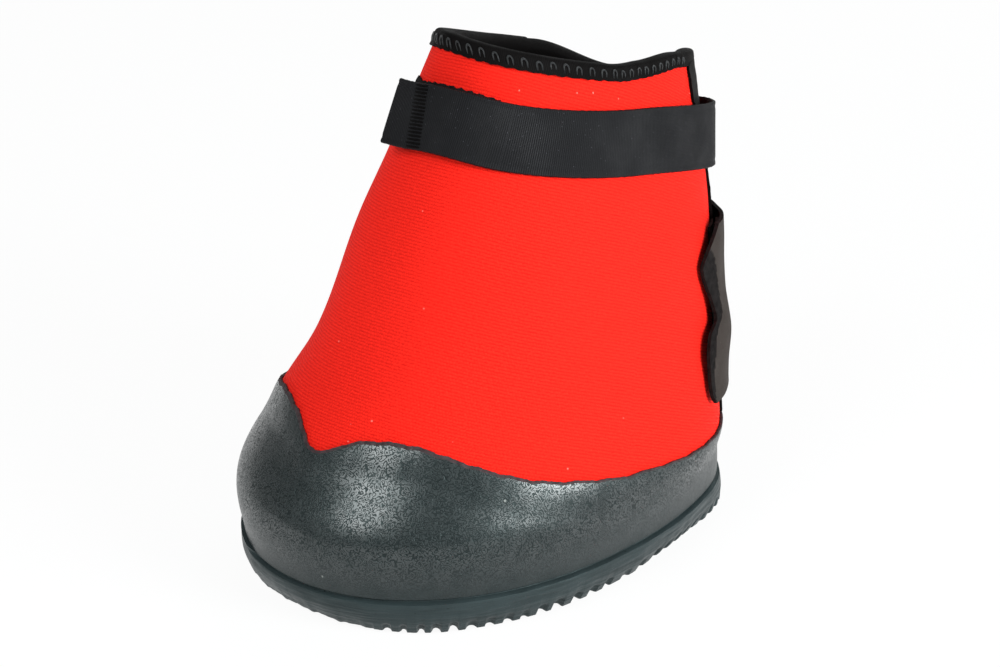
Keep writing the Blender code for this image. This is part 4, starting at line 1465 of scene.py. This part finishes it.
@dataclass
class EdgeBinding:
    """Ribbed tape folded over the edges of the neoprene, with its stitches."""

    upper: RedUpper
    dome: float = 2.4 * MM
    ragged: float = 0.3 * MM
    loop_pitch: float = 5.1 * MM
    loop_width: float = 1.9 * MM
    loop_high: float = 3.5 * MM
    loop_low: float = 0.9 * MM
    thread: float = 0.3 * MM
    loop_turn: float = 0.06
    loop_growth: float = 0.07
    station: float = 0.9 * MM
    seam_turn: float = 5.0
    corner_radius: float = 2.2 * MM
    corner_past: float = 0.3 * MM
    foot_room: float = 0.7 * MM
    fray: Ripple = Ripple(5.1 * MM, 7, (1.0, 2.7, 4.3))
    pull: Bell = Bell(-3.4 * MM, 0.7 * MM, -0.22 * MM)
    uneven: float = 0.12 * MM
    swell: Ripple = Ripple(11 * MM, 5, (1.0, 2.2, 3.7))

    def section(self) -> tuple[Array, Array]:
        """Closed section: distances past the edge, and depths.

        Returns:
            Both, one a corner of the section.
        """
        full, back = WALL.gap + WALL.binding, -WALL.neoprene
        leg = WALL.binding_leg
        straight = np.linspace(-leg, full - self.dome - 0.4 * MM, 10)
        turn = np.linspace(0, np.pi, 15)
        middle, half = back / 2, full - back / 2
        arc_past = full - self.dome + self.dome * np.sin(turn) ** 0.8
        arc_depth = middle + half * np.cos(turn)
        inside = np.array([-leg, 0.0, WALL.gap, WALL.gap, 0.0, -leg])
        inside_depth = np.array([back - WALL.gap] * 2 + [back, 0.0] + [WALL.gap] * 2)
        past = np.concatenate([straight, arc_past, straight[::-2], inside])
        depth = np.concatenate([np.full(10, full), arc_depth, np.full(5, back - full), inside_depth])
        return past, depth

    def along(self, name: str, track: Track | CornerTrack) -> Piece:
        """Model a binding along an edge.

        Args:
            name: Name of the piece.
            track: The edge.

        Returns:
            The piece.
        """
        past, depth = self.section()
        count = max(12, round(track.length / self.station))
        run = np.linspace(0, track.length, count)[:, None]
        ends = (past < -WALL.binding_leg + TINY)[None, :]
        outside = (depth > 0)[None, :]
        fray = self.ragged * self.fray.at(run) * ends
        pull = self.pull.at(past[None, :]) * outside
        swell = self.uneven * self.swell.at(run) * outside
        places = track.place(run, past[None, :] + fray, depth[None, :] + pull + swell)
        piece = smooth(wrap(name, places, Closed.ACROSS), 60)
        dress(piece, BINDING)
        return piece

    def stitches(self, name: str, track: Track | CornerTrack, last: float | None = None) -> Piece:
        """Sew a row of thread loops along an edge.

        Args:
            name: Name of the piece.
            track: The edge.
            last: Where the row ends, or None for the edge's end.

        Returns:
            The piece.
        """
        turn = np.linspace(0, np.pi, 7)
        top = self.loop_high - WALL.binding_leg
        low = self.loop_low - WALL.binding_leg
        half = self.loop_width / 2
        legs_x = np.concatenate([[-half, -half], -half * np.cos(turn)[1:-1], [half, half]])
        arch = top - half + half * np.sin(turn)[1:-1]
        legs_y = np.concatenate([[low, top - half], arch, [top - half, low]])
        lift = np.full(len(legs_x), 0.3 * MM)
        lift[[0, -1]] = -0.4 * MM
        path = np.stack([legs_x, legs_y, lift], axis=1)
        loop = smooth(wrap(name + "_loop", tube(path, self.thread, 6), Closed.ACROSS), 80)
        end = track.length if last is None else last
        stations = np.arange(3 * MM, end - 3 * MM, self.loop_pitch)
        rng = np.random.default_rng(len(stations))
        spots = np.zeros((len(stations), 5))
        spots[:, 0] = stations + rng.uniform(-0.25, 0.25, len(stations)) * MM
        spots[:, 1] = rng.uniform(-0.2, 0.2, len(stations)) * MM
        spots[:, 2] = WALL.gap + WALL.binding - 0.15 * MM
        spots[:, 3] = rng.uniform(-self.loop_turn, self.loop_turn, len(stations))
        spots[:, 4] = rng.uniform(1 - self.loop_growth, 1 + self.loop_growth, len(stations))
        piece = scatter(name, loop, spots, track.place)
        dress(piece, THREAD)
        return piece

    def build(self) -> None:
        """Model, dress and place all bindings."""
        start = self.upper.hinge(WALL.collar)
        bottom = float(WALL.rim(WALL.slit_angle)) + self.foot_room
        corner = CornerTrack(start + self.seam_turn, self.corner_radius, bottom)
        collar = self.along("collar_edge", corner)
        loops = self.stitches("collar_stitches", corner, corner.level_run - 2 * MM)
        for piece in (collar, loops):
            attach(piece, Body.BOOT.value)
        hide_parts("collar_binding", "slit_edge_binding")
        first = float(WALL.flap_edge(WALL.flap_collar(WALL.slit_angle)))
        angles = np.linspace(first, 360 + start + self.seam_turn, 500)
        rim = Track(angles, WALL.flap_collar(angles))
        back = self.along("flap_collar_edge", rim)
        back_loops = self.stitches("flap_collar_stitches", rim)
        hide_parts("flap_collar_binding")
        hinge = self.upper.hinge(WALL.hem)
        angles = np.linspace(float(WALL.flap_edge(WALL.hem(WALL.slit_angle))), 360 + hinge, 500)
        hem = self.along("flap_hem_edge", Track(angles, WALL.hem(angles), side=-1.0))
        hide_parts("flap_hem_binding")
        high = float(WALL.flap_collar(first)) + self.corner_past
        levels = np.linspace(float(WALL.hem(first)) - self.corner_past, high, 200)
        side = self.along("flap_slit_edge", Track(WALL.flap_edge(levels), levels))
        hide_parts("flap_edge_binding")
        for piece in (back, back_loops, hem, side):
            self.upper.swing(piece)


@dataclass
class CollarStrap:
    """Elastic strap round the collar, with its hook and loop tapes."""

    width: float = 25 * MM
    thickness: float = 1.5 * MM
    front_room: float = 10.0 * MM
    heel_room: float = 10.7 * MM
    loop_tape: float = 1.0 * MM
    hook_tape: float = 1.4 * MM
    end_angle: float = -21.0
    fold_angle: float = 12.0
    hinge_angle: float = 120.0
    sewn_angle: float = 201.0
    join_front: float = 34.0
    join_rear: float = 141.0
    fall_start: float = 90.0
    fall_run: float = 90.0
    blend_run: float = 5 * MM
    station: float = 1.0 * MM
    selvage: float = 0.35 * MM
    selvage_in: float = 2.2 * MM
    selvage_width: float = 0.4 * MM
    lean: float = 3.2 * MM
    leaning: Window = Window(100, 28, 172, 20)
    rough: float = 0.12 * MM
    roughness: Ripple = Ripple(3 * MM, 3, (1.0, 2.3, 5.1))
    fray: float = 0.55 * MM
    fray_pitch: float = 4 * MM
    pad_ends: Span = (-30.0, 27.0)
    pad_shift: float = 2.5 * MM
    hook_inset: float = 1.2
    bars: int = 18
    bar_place: float = 11.5 * MM
    bar_slant: float = 1.0 * MM
    bar_radius: float = 0.4 * MM

    def level(self, angle: Array) -> Array:
        """Level of the strap's middle.

        Args:
            angle: Angles round the boot.

        Returns:
            Levels.
        """
        foot = WALL.collar_height - WALL.binding_leg - self.width / 2
        front, heel = foot - self.front_room, foot - WALL.collar_left_drop - self.heel_room
        fallen = ease((np.asarray(angle, float) - self.fall_start) / self.fall_run)
        return front + MM * curve(angle, STRAP_DROPS) + (heel - front) * fallen

    def lift(self, angle: Array) -> Array:
        """Height of the strap's inner face above the wall."""
        tape = 3 * WALL.lay_gap + self.loop_tape + self.hook_tape
        return tape * curve(angle, STRAP_LIFT_SHARES)

    def track(self, start: float, end: float) -> Track:
        """The strap's middle line between two angles."""
        angles = np.linspace(start, end, 500)
        return Track(angles, self.level(angles))

    def section(self) -> tuple[Array, Array]:
        """Closed section of the webbing: places across it and heights.

        Returns:
            Both, one a corner of the section.
        """
        half, t = self.width / 2, self.thickness
        round_off = 0.35 * MM
        across = np.concatenate([[-half], np.linspace(-half + round_off, half - round_off, 33), [half]])
        top = t - self.selvage * Bell(half - self.selvage_in, self.selvage_width).at(np.abs(across))
        top[[0, -1]] = 0.62 * t
        bottom_at = across[[-1, -3, 17, 2, 0]]
        bottom = np.array([0.35, 0.0, 0.0, 0.0, 0.35]) * t
        return np.concatenate([across, bottom_at]), np.concatenate([top, bottom])

    def band(self, name: str, start: float, end: float) -> Piece:
        """Model a stretch of the webbing.

        Args:
            name: Name of the piece.
            start: Its first angle.
            end: Its last angle.

        Returns:
            The piece.
        """
        track = self.track(start, end)
        across, height = self.section()
        run = np.linspace(0, track.length, max(8, round(track.length / self.station)))[:, None]
        angle = np.interp(run, track.run, track.angles)
        rough = self.rough * self.roughness.at(run) * np.sign(across)[None, :]
        rough = rough * (np.abs(across) > self.width / 2 - 0.1 * MM)[None, :]
        lean = self.lean * self.leaning.at(angle)
        depth = self.lift(angle) + height[None, :] + lean * across[None, :] / self.width
        piece = smooth(wrap(name, track.place(run, across[None, :] + rough, depth), Closed.ACROSS), 50)
        dress(piece, WEBBING)
        return piece

    def tape(self, name: str, ends: Span, width: float, layer: Span, shift: float, seed: int) -> Piece:
        """Model a hook or loop tape with a ragged edge.

        Args:
            name: Name of the piece.
            ends: Its first and last angle.
            width: Its width.
            layer: Heights of its lower and upper face above the wall.
            shift: How far its middle lies above the strap's.
            seed: Seed of the ragged edge.

        Returns:
            The piece.
        """
        low, high = layer
        track = self.track(*ends)
        run = np.linspace(0, track.length, round(track.length / (0.7 * MM)))[:, None]
        half = width / 2
        across = np.concatenate([np.linspace(-half, half, 15), np.linspace(half, -half, 5)])
        depth = np.concatenate([np.full(15, high), np.full(5, low)])
        depth[[0, 14]] -= 0.3 * (high - low)
        fray = self.fray * Ripple(self.fray_pitch, seed, (1.0, 2.7, 4.4, 7.9)).at(run)
        edges = (np.abs(across) > half - TINY)[None, :] * np.sign(across)[None, :]
        angle = np.interp(run, track.run, track.angles)
        follow = (self.lift(np.minimum(angle, 0.0)) - self.lift(0.0)) * (low > WALL.lay_gap)
        lean = shift * (1 - 0.65 * run / track.length)
        places = track.place(run, lean + across[None, :] + fray * edges, depth[None, :] + follow)
        piece = smooth(wrap(name, places, Closed.ACROSS), 60)
        dress(piece, FUZZ)
        return piece

    def bar_row(self) -> Piece:
        """Model the row of short raised bars near the strap's cut end.

        Returns:
            The piece.
        """
        rise = np.array([-0.4, 0, 0.1, 0, -0.4]) * MM
        path = np.stack([np.linspace(-4, 4, 5) * MM, np.zeros(5), rise], axis=1)
        bar = smooth(wrap("strap_bar", tube(path, self.bar_radius, 6), Closed.ACROSS), 80)
        track = self.track(self.end_angle, self.fold_angle)
        spots = np.zeros((self.bars, 5))
        spots[:, 0] = self.bar_place - self.bar_slant * np.linspace(-1, 1, self.bars)
        spots[:, 1] = np.linspace(-0.46, 0.46, self.bars) * self.width
        spots[:, 2] = self.lift(np.interp(spots[:, 0], track.run, track.angles)) + self.thickness
        spots[:, 4] = 1.0
        piece = scatter("strap_end_bars", bar, spots, track.place)
        dress(piece, BINDING)
        return piece

    def bend(self, piece: Piece, angle: float, toward: float) -> None:
        """Bake a stretch of the strap's transform into its mesh; the place of its bend is worked out but not
        used.

        Args:
            piece: The stretch.
            angle: Angle of the bend's place.
            toward: Degrees on to a place in front.
        """
        place = WALL.layer(angle, self.level(angle), self.lift(angle))
        ahead = WALL.layer(angle + toward, self.level(angle + toward), self.lift(angle)) - place
        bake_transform(piece)

    def build(self) -> None:
        """Model, dress and place the strap and its tapes."""
        anchor = self.band("strap_sewn_end", self.join_rear, self.sewn_angle)
        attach(anchor, Body.FLAP.value)
        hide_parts("strap_anchor")
        run = self.band("collar_strap", self.join_front, self.join_rear)
        self.bend(run, self.hinge_angle, -4.0)
        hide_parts("strap_run")
        end = self.band("strap_free_end", self.end_angle, self.join_front)
        self.bend(end, self.fold_angle, -4.0)
        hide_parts("strap_end")
        gap, loop = WALL.lay_gap, self.loop_tape
        seat = gap, gap + loop
        pad = self.tape("strap_pad", self.pad_ends, self.width - 1 * MM, seat, self.pad_shift, 11)
        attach(pad, Body.BOOT.value)
        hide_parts("strap_loop_pad")
        low = 2 * gap + loop
        ends = self.end_angle + self.hook_inset, self.fold_angle - self.hook_inset
        hook = self.tape("strap_hooks", ends, self.width - 3 * MM, (low, low + self.hook_tape), 0.0, 12)
        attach(hook, Body.TIP.value)
        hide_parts("strap_hook_tape")
        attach(self.bar_row(), Body.TIP.value)


@dataclass
class HeelTab:
    """Closure tab over the slit, with its hook and loop tapes."""

    height: float = 70 * MM
    room: float = 17 * MM
    thickness: float = 1.5 * MM
    free_angle: float = 131.0
    hinge_angle: float = 155.0
    sewn_angle: float = 183.0
    join_angle: float = 166.0
    loop_tape: float = 1.0 * MM
    hook_tape: float = 1.4 * MM
    blend_run: float = 5 * MM
    columns: int = 70
    rows: int = 81
    wave_start: float = 150.0
    wave_run: float = 18.0
    slit_room: float = 6.5

    def middle(self) -> float:
        """Middle level of the tab."""
        return float(WALL.rim(self.hinge_angle)) + self.room + self.height / 2

    def lift(self, angle: Array, share: Values = 0.5) -> Array:
        """Height of the tab's inner face, arched, and wavy towards its free edge.

        Args:
            angle: Angles round the boot.
            share: Shares of the tab's height.

        Returns:
            Heights above the wall.
        """
        tape = 3 * WALL.lay_gap + self.loop_tape + self.hook_tape
        wave = MM * curve(share, TAB_WAVES) * ease((self.wave_start - angle) / self.wave_run)
        return tape * curve(angle, TAB_LIFT_SHARES) + wave

    def sheet(
        self, name: str, ends: tuple[Values, float], inset: float, low: Callable, thickness: float
    ) -> Piece:
        """Model one layer of the tab.

        Args:
            name: Name of the piece.
            ends: Its first angle, alone or row by row, and its last angle.
            inset: How far it is set in at the top and bottom.
            low: Height of its inner face at given angles and shares.
            thickness: Its thickness.

        Returns:
            The piece, a sheet with its thickness but no finish.
        """
        share = np.linspace(0, 1, self.rows)
        levels = self.middle() + (self.height / 2 - inset) * (2 * share - 1)
        turn = np.linspace(0, 1, self.columns)[:, None]
        start = np.broadcast_to(ends[0], share.shape)[None, :]
        angles = start + (ends[1] - start) * turn
        levels = np.broadcast_to(levels, angles.shape)
        places = WALL.layer(angles, levels, low(angles, share[None, :]) + thickness)
        piece = wrap(name, places)
        outward = places[25, 30] - WALL.layer(angles[25, 30], levels[25, 30], 0.0)
        thicken(piece, thickness, outward)
        return smooth(piece, 40)

    def mark_fuzz(self, piece: Piece) -> None:
        """Give the strip beside the tab's free edge the fuzzy finish.

        Args:
            piece: The tab.
        """
        centres = read(piece.data.polygons, "center")
        index = np.zeros(len(centres), int)
        piece.data.polygons.foreach_get("material_index", index)
        share = (centres[:, 2] - self.middle()) / self.height + 0.5
        edge = WALL.layer(curve(share, TAB_FUZZ_ANGLES), self.middle() + (share - 0.5) * self.height, 4 * MM)
        turn = np.arctan2(centres[:, 0], -centres[:, 1])
        index[turn < np.arctan2(edge[:, 0], -edge[:, 1])] = 1
        piece.data.polygons.foreach_set("material_index", index)

    def build(self) -> None:
        """Model, dress and place the tab and its tapes."""
        base = self.sheet("tab_sewn_end", (self.join_angle, self.sewn_angle), 0.0, self.lift, self.thickness)
        dress(base, TAB_CLOTH, FUZZ)
        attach(base, Body.FLAP.value)
        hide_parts("tab_base")
        edge = curve(np.linspace(0, 1, self.rows), TAB_EDGE_ANGLES)
        tab = self.sheet("heel_tab", (edge, self.join_angle), 0.0, self.lift, self.thickness)
        dress(tab, TAB_CLOTH, FUZZ)
        self.mark_fuzz(tab)
        place = WALL.layer(self.hinge_angle, self.middle(), self.lift(self.hinge_angle))
        ahead = WALL.layer(self.hinge_angle - 4, self.middle(), self.lift(self.hinge_angle)) - place
        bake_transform(tab)
        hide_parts("closure_tab")
        last = WALL.slit_angle - self.slit_room
        low = lambda a, s: self.lift(a, s) - WALL.lay_gap - self.hook_tape
        hooks = self.sheet("tab_hooks", (self.free_angle, last), 1.5 * MM, low, self.hook_tape)
        dress(hooks, FUZZ, FUZZ)
        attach(hooks, Body.TAB.value)
        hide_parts("tab_hook_tape")
        flat = lambda a, s: WALL.lay_gap + 0 * a
        pad = self.sheet("tab_pad", (self.free_angle - 2, last), 2 * MM, flat, self.loop_tape)
        dress(pad, FUZZ, FUZZ)
        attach(pad, Body.BOOT.value)
        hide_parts("tab_loop_pad")


HEEL_FLARE = Bell(134, 13, 1.8 * MM)


def heel_flare(angles: Array) -> Array:
    """How far the shell's foot and the sole stand out at the heel's corners."""
    return HEEL_FLARE.at(np.abs(turned(angles)))


@dataclass
class RubberShell:
    """Grained rubber shell with a notched toe and a raw cut rim."""

    columns: int = 720
    edge: float = 1.1 * MM
    edge_fade: float = 12 * MM
    margin_width: float = 15 * MM
    margin_thickness: float = 2.0 * MM
    uneven: float = 0.35 * MM
    cut: Ripple = Ripple(9, 21, (1.0, 2.0, 4.0, 7.0))
    flare_fade: float = 15 * MM
    outer_rows: int = 44
    lip: float = 0.12 * MM
    raw_depth: float = 0.45 * MM

    def build(self) -> None:
        """Model, dress and place the shell."""
        angles = (360 * np.arange(self.columns) / self.columns)[:, None]
        foot = WALL.sole_thickness + WALL.gap
        rim = WALL.rim(angles) + self.uneven * self.cut.at(angles)
        share = np.linspace(0, 1, self.outer_rows)[None, :] ** 0.9
        out_level = foot + (rim - foot) * share
        fade = 1 - ease((rim - out_level) / self.edge_fade)
        flare = heel_flare(angles) * ease(1 - (out_level - foot) / self.flare_fade)
        outer = WALL.layer(angles, out_level, (WALL.gap + self.edge) * fade + flare)
        top = np.linspace(0, 1, 6)[None, 1:-1]
        lip_depth = (WALL.gap + self.edge) * (1 - top) + WALL.gap * top
        lip = WALL.layer(angles, rim + self.lip * np.sin(np.pi * top), lip_depth)
        in_share = np.linspace(1, 0, 16)[None, :]
        in_level = WALL.foot() - 2 * WALL.gap + (rim - WALL.foot() + 2 * WALL.gap) * in_share
        inner = WALL.layer(angles, in_level, WALL.gap - WALL.tuck(angles, in_level))
        margin = WALL.layer(angles, foot, -WALL.shell_wall - self.margin_width)
        low, high = margin.copy(), margin.copy()
        low[..., 2], high[..., 2] = foot, foot + self.margin_thickness
        places = np.concatenate([outer, lip, inner, high, low], axis=1)
        piece = smooth(wrap("grained_shell", places, Closed.BOTH), 50)
        dress(piece, SHELL, RAW_EDGE)
        self.mark_edge(piece, places)
        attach(piece, Body.BOOT.value)
        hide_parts("rubber_shell")

    def mark_edge(self, piece: Piece, places: Array) -> None:
        """Give the faces of the cut rim their own finish.

        Args:
            piece: The shell.
            places: Its grid of points.
        """
        centres = read(piece.data.polygons, "center")
        ring = places[:, self.outer_rows - 1:self.outer_rows + 5].mean(axis=1)
        turn = np.arctan2(centres[:, 0], -centres[:, 1])
        ring_turn = np.arctan2(ring[:, 0], -ring[:, 1])
        order = np.argsort(ring_turn)
        level = np.interp(turn, ring_turn[order], ring[order, 2], period=2 * np.pi)
        index = (centres[:, 2] > level - self.raw_depth).astype(int)
        piece.data.polygons.foreach_set("material_index", index)


@dataclass
class TreadSole:
    """Moulded sole with a toothed edge and rings of lugs."""

    teeth: int = 80
    steps: int = 16
    proud: float = 1.6 * MM
    tread: float = 3.0 * MM
    arch: float = 0.9 * MM
    notch: float = 1.7 * MM
    rings: tuple[float, ...] = (
        1.0, 0.985, 0.93, 0.87, 0.855, 0.845, 0.8, 0.79, 0.78, 0.7, 0.63, 0.62, 0.61, 0.56, 0.55, 0.54, 0.46,
        0.39, 0.38, 0.37, 0.31,
    )
    lug_rings: tuple[tuple[float, float, int], ...] = ((0.86, 1.1, 80), (0.62, 0.79, 40), (0.38, 0.55, 20))
    lug_wall: float = 0.05
    lug_half: float = 0.23
    ring_margin: float = 0.004
    toe_rise: Bell = Bell(-2, 26, 1.8 * MM)
    tooth_place: Ripple = Ripple(5, 37, (1.0, 2.2, 3.7))
    tooth_shift: float = 0.11
    tooth_width: Ripple = Ripple(6, 39, (1.0, 2.6, 4.1))
    tooth_half: float = 0.27
    tooth_half_change: float = 0.07
    tooth_round: float = 0.6
    tooth_size: Ripple = Ripple(7, 31, (1.0, 2.3, 3.1))
    tooth_mean: float = 0.9
    tooth_change: float = 0.5
    wear: float = 0.96
    worn: Window = Window(-75, 15, 32, 12)
    merged: Window = Window(-62, 12, -12, 10)
    wavy: Window = Window(-75, 15, 34, 12)
    wave: Ripple = Ripple(11, 35, (1.0, 2.3, 3.4))
    wave_rise: float = 0.45 * MM
    uneven: float = 0.25 * MM
    side_ripple: Ripple = Ripple(40, 33, (1.0, 2.4, 3.9, 6.3))
    inner_reach: float = 22 * MM

    def tooth(self, angles: Array) -> Array:
        """1 in the middle of the notch between two teeth, 0 on a tooth, rounded like an arch.

        Args:
            angles: Angles round the boot.

        Returns:
            Values of 0 to about 1.
        """
        place = angles * self.teeth / 360 - 0.25
        index = np.floor(place)
        aside = self.tooth_shift * self.tooth_place.at(index)
        half = self.tooth_half + self.tooth_half_change * self.tooth_width.at(index)
        arch = np.clip(1 - ((place % 1 - 0.5 - aside) / half) ** 2, 0, 1) ** self.tooth_round
        size = self.tooth_mean + self.tooth_change * self.tooth_size.at(index)
        return arch * size * (1 - self.wear * self.worn.at(turned(angles)))

    def underside(self, angles: Array, share: float) -> Array:
        """Height of the tread at a share of the sole's reach.

        Args:
            angles: Angles round the boot.
            share: Share of the way out to the sole's edge.

        Returns:
            Heights.
        """
        down = np.zeros_like(angles)
        for low, high, count in self.lug_rings:
            if low - self.ring_margin <= share <= high + self.ring_margin:
                turn = (angles * count / 360 - 0.25) % 1
                down = np.maximum(down, ease((np.abs(turn - 0.5) - self.lug_half) / self.lug_wall))
        return self.tread * (1 - down)

    def build(self) -> None:
        """Model, dress and place the sole."""
        angles = (360 * np.arange(self.teeth * self.steps) / (self.teeth * self.steps))[:, None]
        tooth = self.tooth(angles)
        turn = turned(angles)
        rise = self.toe_rise.at(turn)
        foot_out = MM * curve(turn, SOLE_FOOT_OFFSETS)
        merged = self.merged.at(turn)
        uneven = self.uneven * self.side_ripple.at(angles)
        height = WALL.sole_thickness
        rows = [WALL.ring(angles, -self.inner_reach, height)]
        foot = rise + self.arch * tooth + self.wave_rise * (1 + self.wave.at(angles) * self.wavy.at(turn))
        for down in np.concatenate([[0.0, 0.03, 0.055, 0.075, 0.1, 0.14], np.linspace(0.2, 1.0, 16)]):
            up = 1 - down
            side = float(curve(up, SOLE_SIDE_SHARES))
            side = side + (0.88 - side) * merged * (up > 0.84)
            offset = self.proud * side + foot_out * down**1.4 + heel_flare(angles)
            bite = tooth * self.notch * float(ease((down - 0.72) / 0.1))
            out = offset - bite + uneven * float(ease(down / 0.2))
            rows.append(WALL.ring(angles, out, foot + (height - foot) * up))
        edge = rows[-1]
        for share in self.rings[1:]:
            row = edge * share
            inside = float(ease((0.985 - share) / 0.055))
            tread = self.underside(angles, share) * inside + self.arch * tooth * (1 - inside)
            row[..., 2] = tread + rise * float(ease((share - 0.84) / 0.16))
            rows.append(row)
        places = np.concatenate(rows, axis=1)
        piece = smooth(wrap("tread_sole", places, Closed.ALONG), 35)
        dress(piece, SOLE)
        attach(piece, Body.BOOT.value)
        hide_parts("outsole")


@dataclass
class Footbed:
    """Foam insole, its board and the filler under it."""

    margin_thickness: float = 2.0 * MM
    margin_width: float = 15 * MM
    board: float = 2.5 * MM
    foam: float = 7 * MM
    edge_radius: float = 2 * MM
    filler_radius: float = 0.3 * MM
    inner_reach: float = 25 * MM
    columns: int = 240

    def plate(self, name: str, inset: float, low: float, high: float, radius: float) -> Piece:
        """Model a plate in the boot's outline with a rounded upper edge.

        Args:
            name: Name of the piece.
            inset: How far it is set in from the wall's foot.
            low: Height of its lower face.
            high: Height of its upper face.
            radius: Radius of its upper edge.

        Returns:
            The piece.
        """
        angles = (360 * np.arange(self.columns) / self.columns)[:, None]
        turn = np.linspace(0, np.pi / 2, 6)
        reach = self.inner_reach
        insets = np.concatenate([[reach, 0.0], radius * (1 - np.cos(turn)), [radius + 8 * MM, reach]]) + inset
        heights = np.concatenate([[low, low], high - radius * (1 - np.sin(turn)), [high, high]])
        rows = [WALL.ring(angles, -step, height) for step, height in zip(insets, heights)]
        return smooth(wrap(name, np.concatenate(rows, axis=1), Closed.ALONG), 50)

    def build(self) -> None:
        """Model, dress and place the footbed."""
        filler_low = WALL.sole_thickness + WALL.gap
        filler_high = filler_low + self.margin_thickness
        board_low = filler_high + WALL.gap
        foam_low = board_low + self.board + WALL.gap
        filler_inset = WALL.shell_wall + self.margin_width + WALL.gap
        filler = self.plate("sole_filler", filler_inset, filler_low, filler_high, self.filler_radius)
        dress(filler, FELT)
        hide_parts("bottom_filler")
        foam_inset = WALL.shell_wall + WALL.neoprene + 3 * WALL.gap
        foam = self.plate("foam_bed", foam_inset, foam_low, foam_low + self.foam, self.edge_radius)
        dress(foam, FOAM)
        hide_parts("foam_insole")
        for piece in (filler, foam):
            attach(piece, Body.BOOT.value)
        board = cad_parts["insole_board"]
        for part in board if isinstance(board, (list, tuple)) else (board,):
            part.data.materials.clear()
            part.data.materials.append(BOARD.material())


@dataclass
class Studio:
    """Floor, white background, lamps and camera."""

    target: Triple = (0.01193, -0.00214, 0.08665)
    azimuth: float = 45.0
    elevation: float = 25.0
    distance: float = 1.25
    lens: float = 117.9
    white: float = 1.0
    fill: float = 0.25
    shadow_share: float = 0.07
    lamp_colour: Triple = (0.95, 1.0, 1.0)
    sensor: float = 36.0
    floor_size: float = 8.0

    def lamp(self, name: str, place: Triple, size: float, energy: float) -> None:
        """Hang a soft lamp that faces the boot.

        Args:
            name: Its name.
            place: Its place.
            size: Its diameter.
            energy: Its power in watts.
        """
        data = bpy.data.lights.new(name, "AREA")
        data.shape, data.size, data.energy = "DISK", size, energy
        data.color = self.lamp_colour
        lamp = bpy.data.objects.new(name, data)
        bpy.context.collection.objects.link(lamp)
        lamp.location = place
        lamp.rotation_euler = (Vector(self.target) - Vector(place)).to_track_quat("-Z", "Y").to_euler()

    def background_mask(self, desk: Desk) -> Socket:
        """1 for rays from the camera, a mirror or glass, else 0.

        Args:
            desk: Desk on the floor's material.

        Returns:
            The mask.
        """
        rays = desk.add("LightPath").outputs
        seen = desk.math("MAXIMUM", rays["Is Camera Ray"], rays["Is Glossy Ray"])
        return desk.math("MAXIMUM", seen, rays["Is Transmission Ray"])

    def world(self) -> None:
        """Make the world plain white, and softer as a light."""
        world = bpy.data.worlds.new("Studio white")
        world.use_nodes = True
        desk = Desk(world.node_tree)
        shader = world.node_tree.nodes["Background"]
        rays = desk.add("LightPath").outputs
        strength = desk.plus(desk.times(rays["Is Camera Ray"], self.white - self.fill), self.fill)
        desk.give(shader, Color=(1.0, 1.0, 1.0, 1.0), Strength=strength)
        bpy.context.scene.world = world

    def floor(self) -> None:
        """Lay a white floor that keeps a faint shadow."""
        deselect()
        bpy.ops.mesh.primitive_plane_add(size=self.floor_size)
        floor = bpy.context.active_object
        floor.name = "studio_floor"
        material = bpy.data.materials.new("Studio floor")
        material.use_nodes = True
        desk = Desk(material.node_tree)
        shader = material.node_tree.nodes["Principled BSDF"]
        desk.give(shader, Base_Color=(0.9, 0.9, 0.9, 1.0), Roughness=0.9, Specular_IOR_Level=0.0)
        glow = desk.add("Emission", Strength=1.0)
        share = desk.times(self.background_mask(desk), 1 - self.shadow_share)
        mixed = desk.add("MixShader")
        desk.feed(mixed.inputs[0], share)
        desk.feed(mixed.inputs[1], shader.outputs[0])
        desk.feed(mixed.inputs[2], glow.outputs[0])
        desk.feed(material.node_tree.nodes["Material Output"].inputs["Surface"], mixed.outputs[0])
        floor.data.materials.append(material)

    def camera(self) -> None:
        """Set the camera at the photograph's angle."""
        data = bpy.data.cameras.new("Studio camera")
        data.lens, data.sensor_width = self.lens, self.sensor
        camera = bpy.data.objects.new("Studio camera", data)
        bpy.context.collection.objects.link(camera)
        turn, rise = math.radians(self.azimuth), math.radians(self.elevation)
        ahead = Vector((math.sin(turn) * math.cos(rise), -math.cos(turn) * math.cos(rise), math.sin(rise)))
        camera.location = Vector(self.target) + ahead * self.distance
        camera.rotation_euler = (-ahead).to_track_quat("-Z", "Y").to_euler()
        bpy.context.scene.camera = camera

    def build(self) -> None:
        """Set up the whole studio."""
        self.world()
        self.floor()
        self.lamp("Toe lamp", (0.09, -1.0, 0.95), 0.75, 11.6)
        self.lamp("Side lamp", (1.17, 0.2, 0.55), 0.7, 17.0)
        self.lamp("Heel lamp", (1.12, 0.45, 0.35), 0.5, 4.5)
        self.lamp("Back lamp", (-0.5, 0.9, 0.9), 0.7, 4.0)
        self.camera()
        bpy.context.scene.view_settings.view_transform = "Standard"


def main() -> None:
    """Build all sub-assemblies, then the studio."""
    logging.basicConfig(level=logging.INFO, format="%(name)s: %(message)s")
    upper = RedUpper()
    assemblies = (TreadSole(), RubberShell(), Footbed(), upper, EdgeBinding(upper), CollarStrap(), HeelTab())
    for assembly in assemblies:
        assembly.build()
        LOG.info("%s built", type(assembly).__name__)
    Studio().build()


if __name__ == "__main__":
    main()
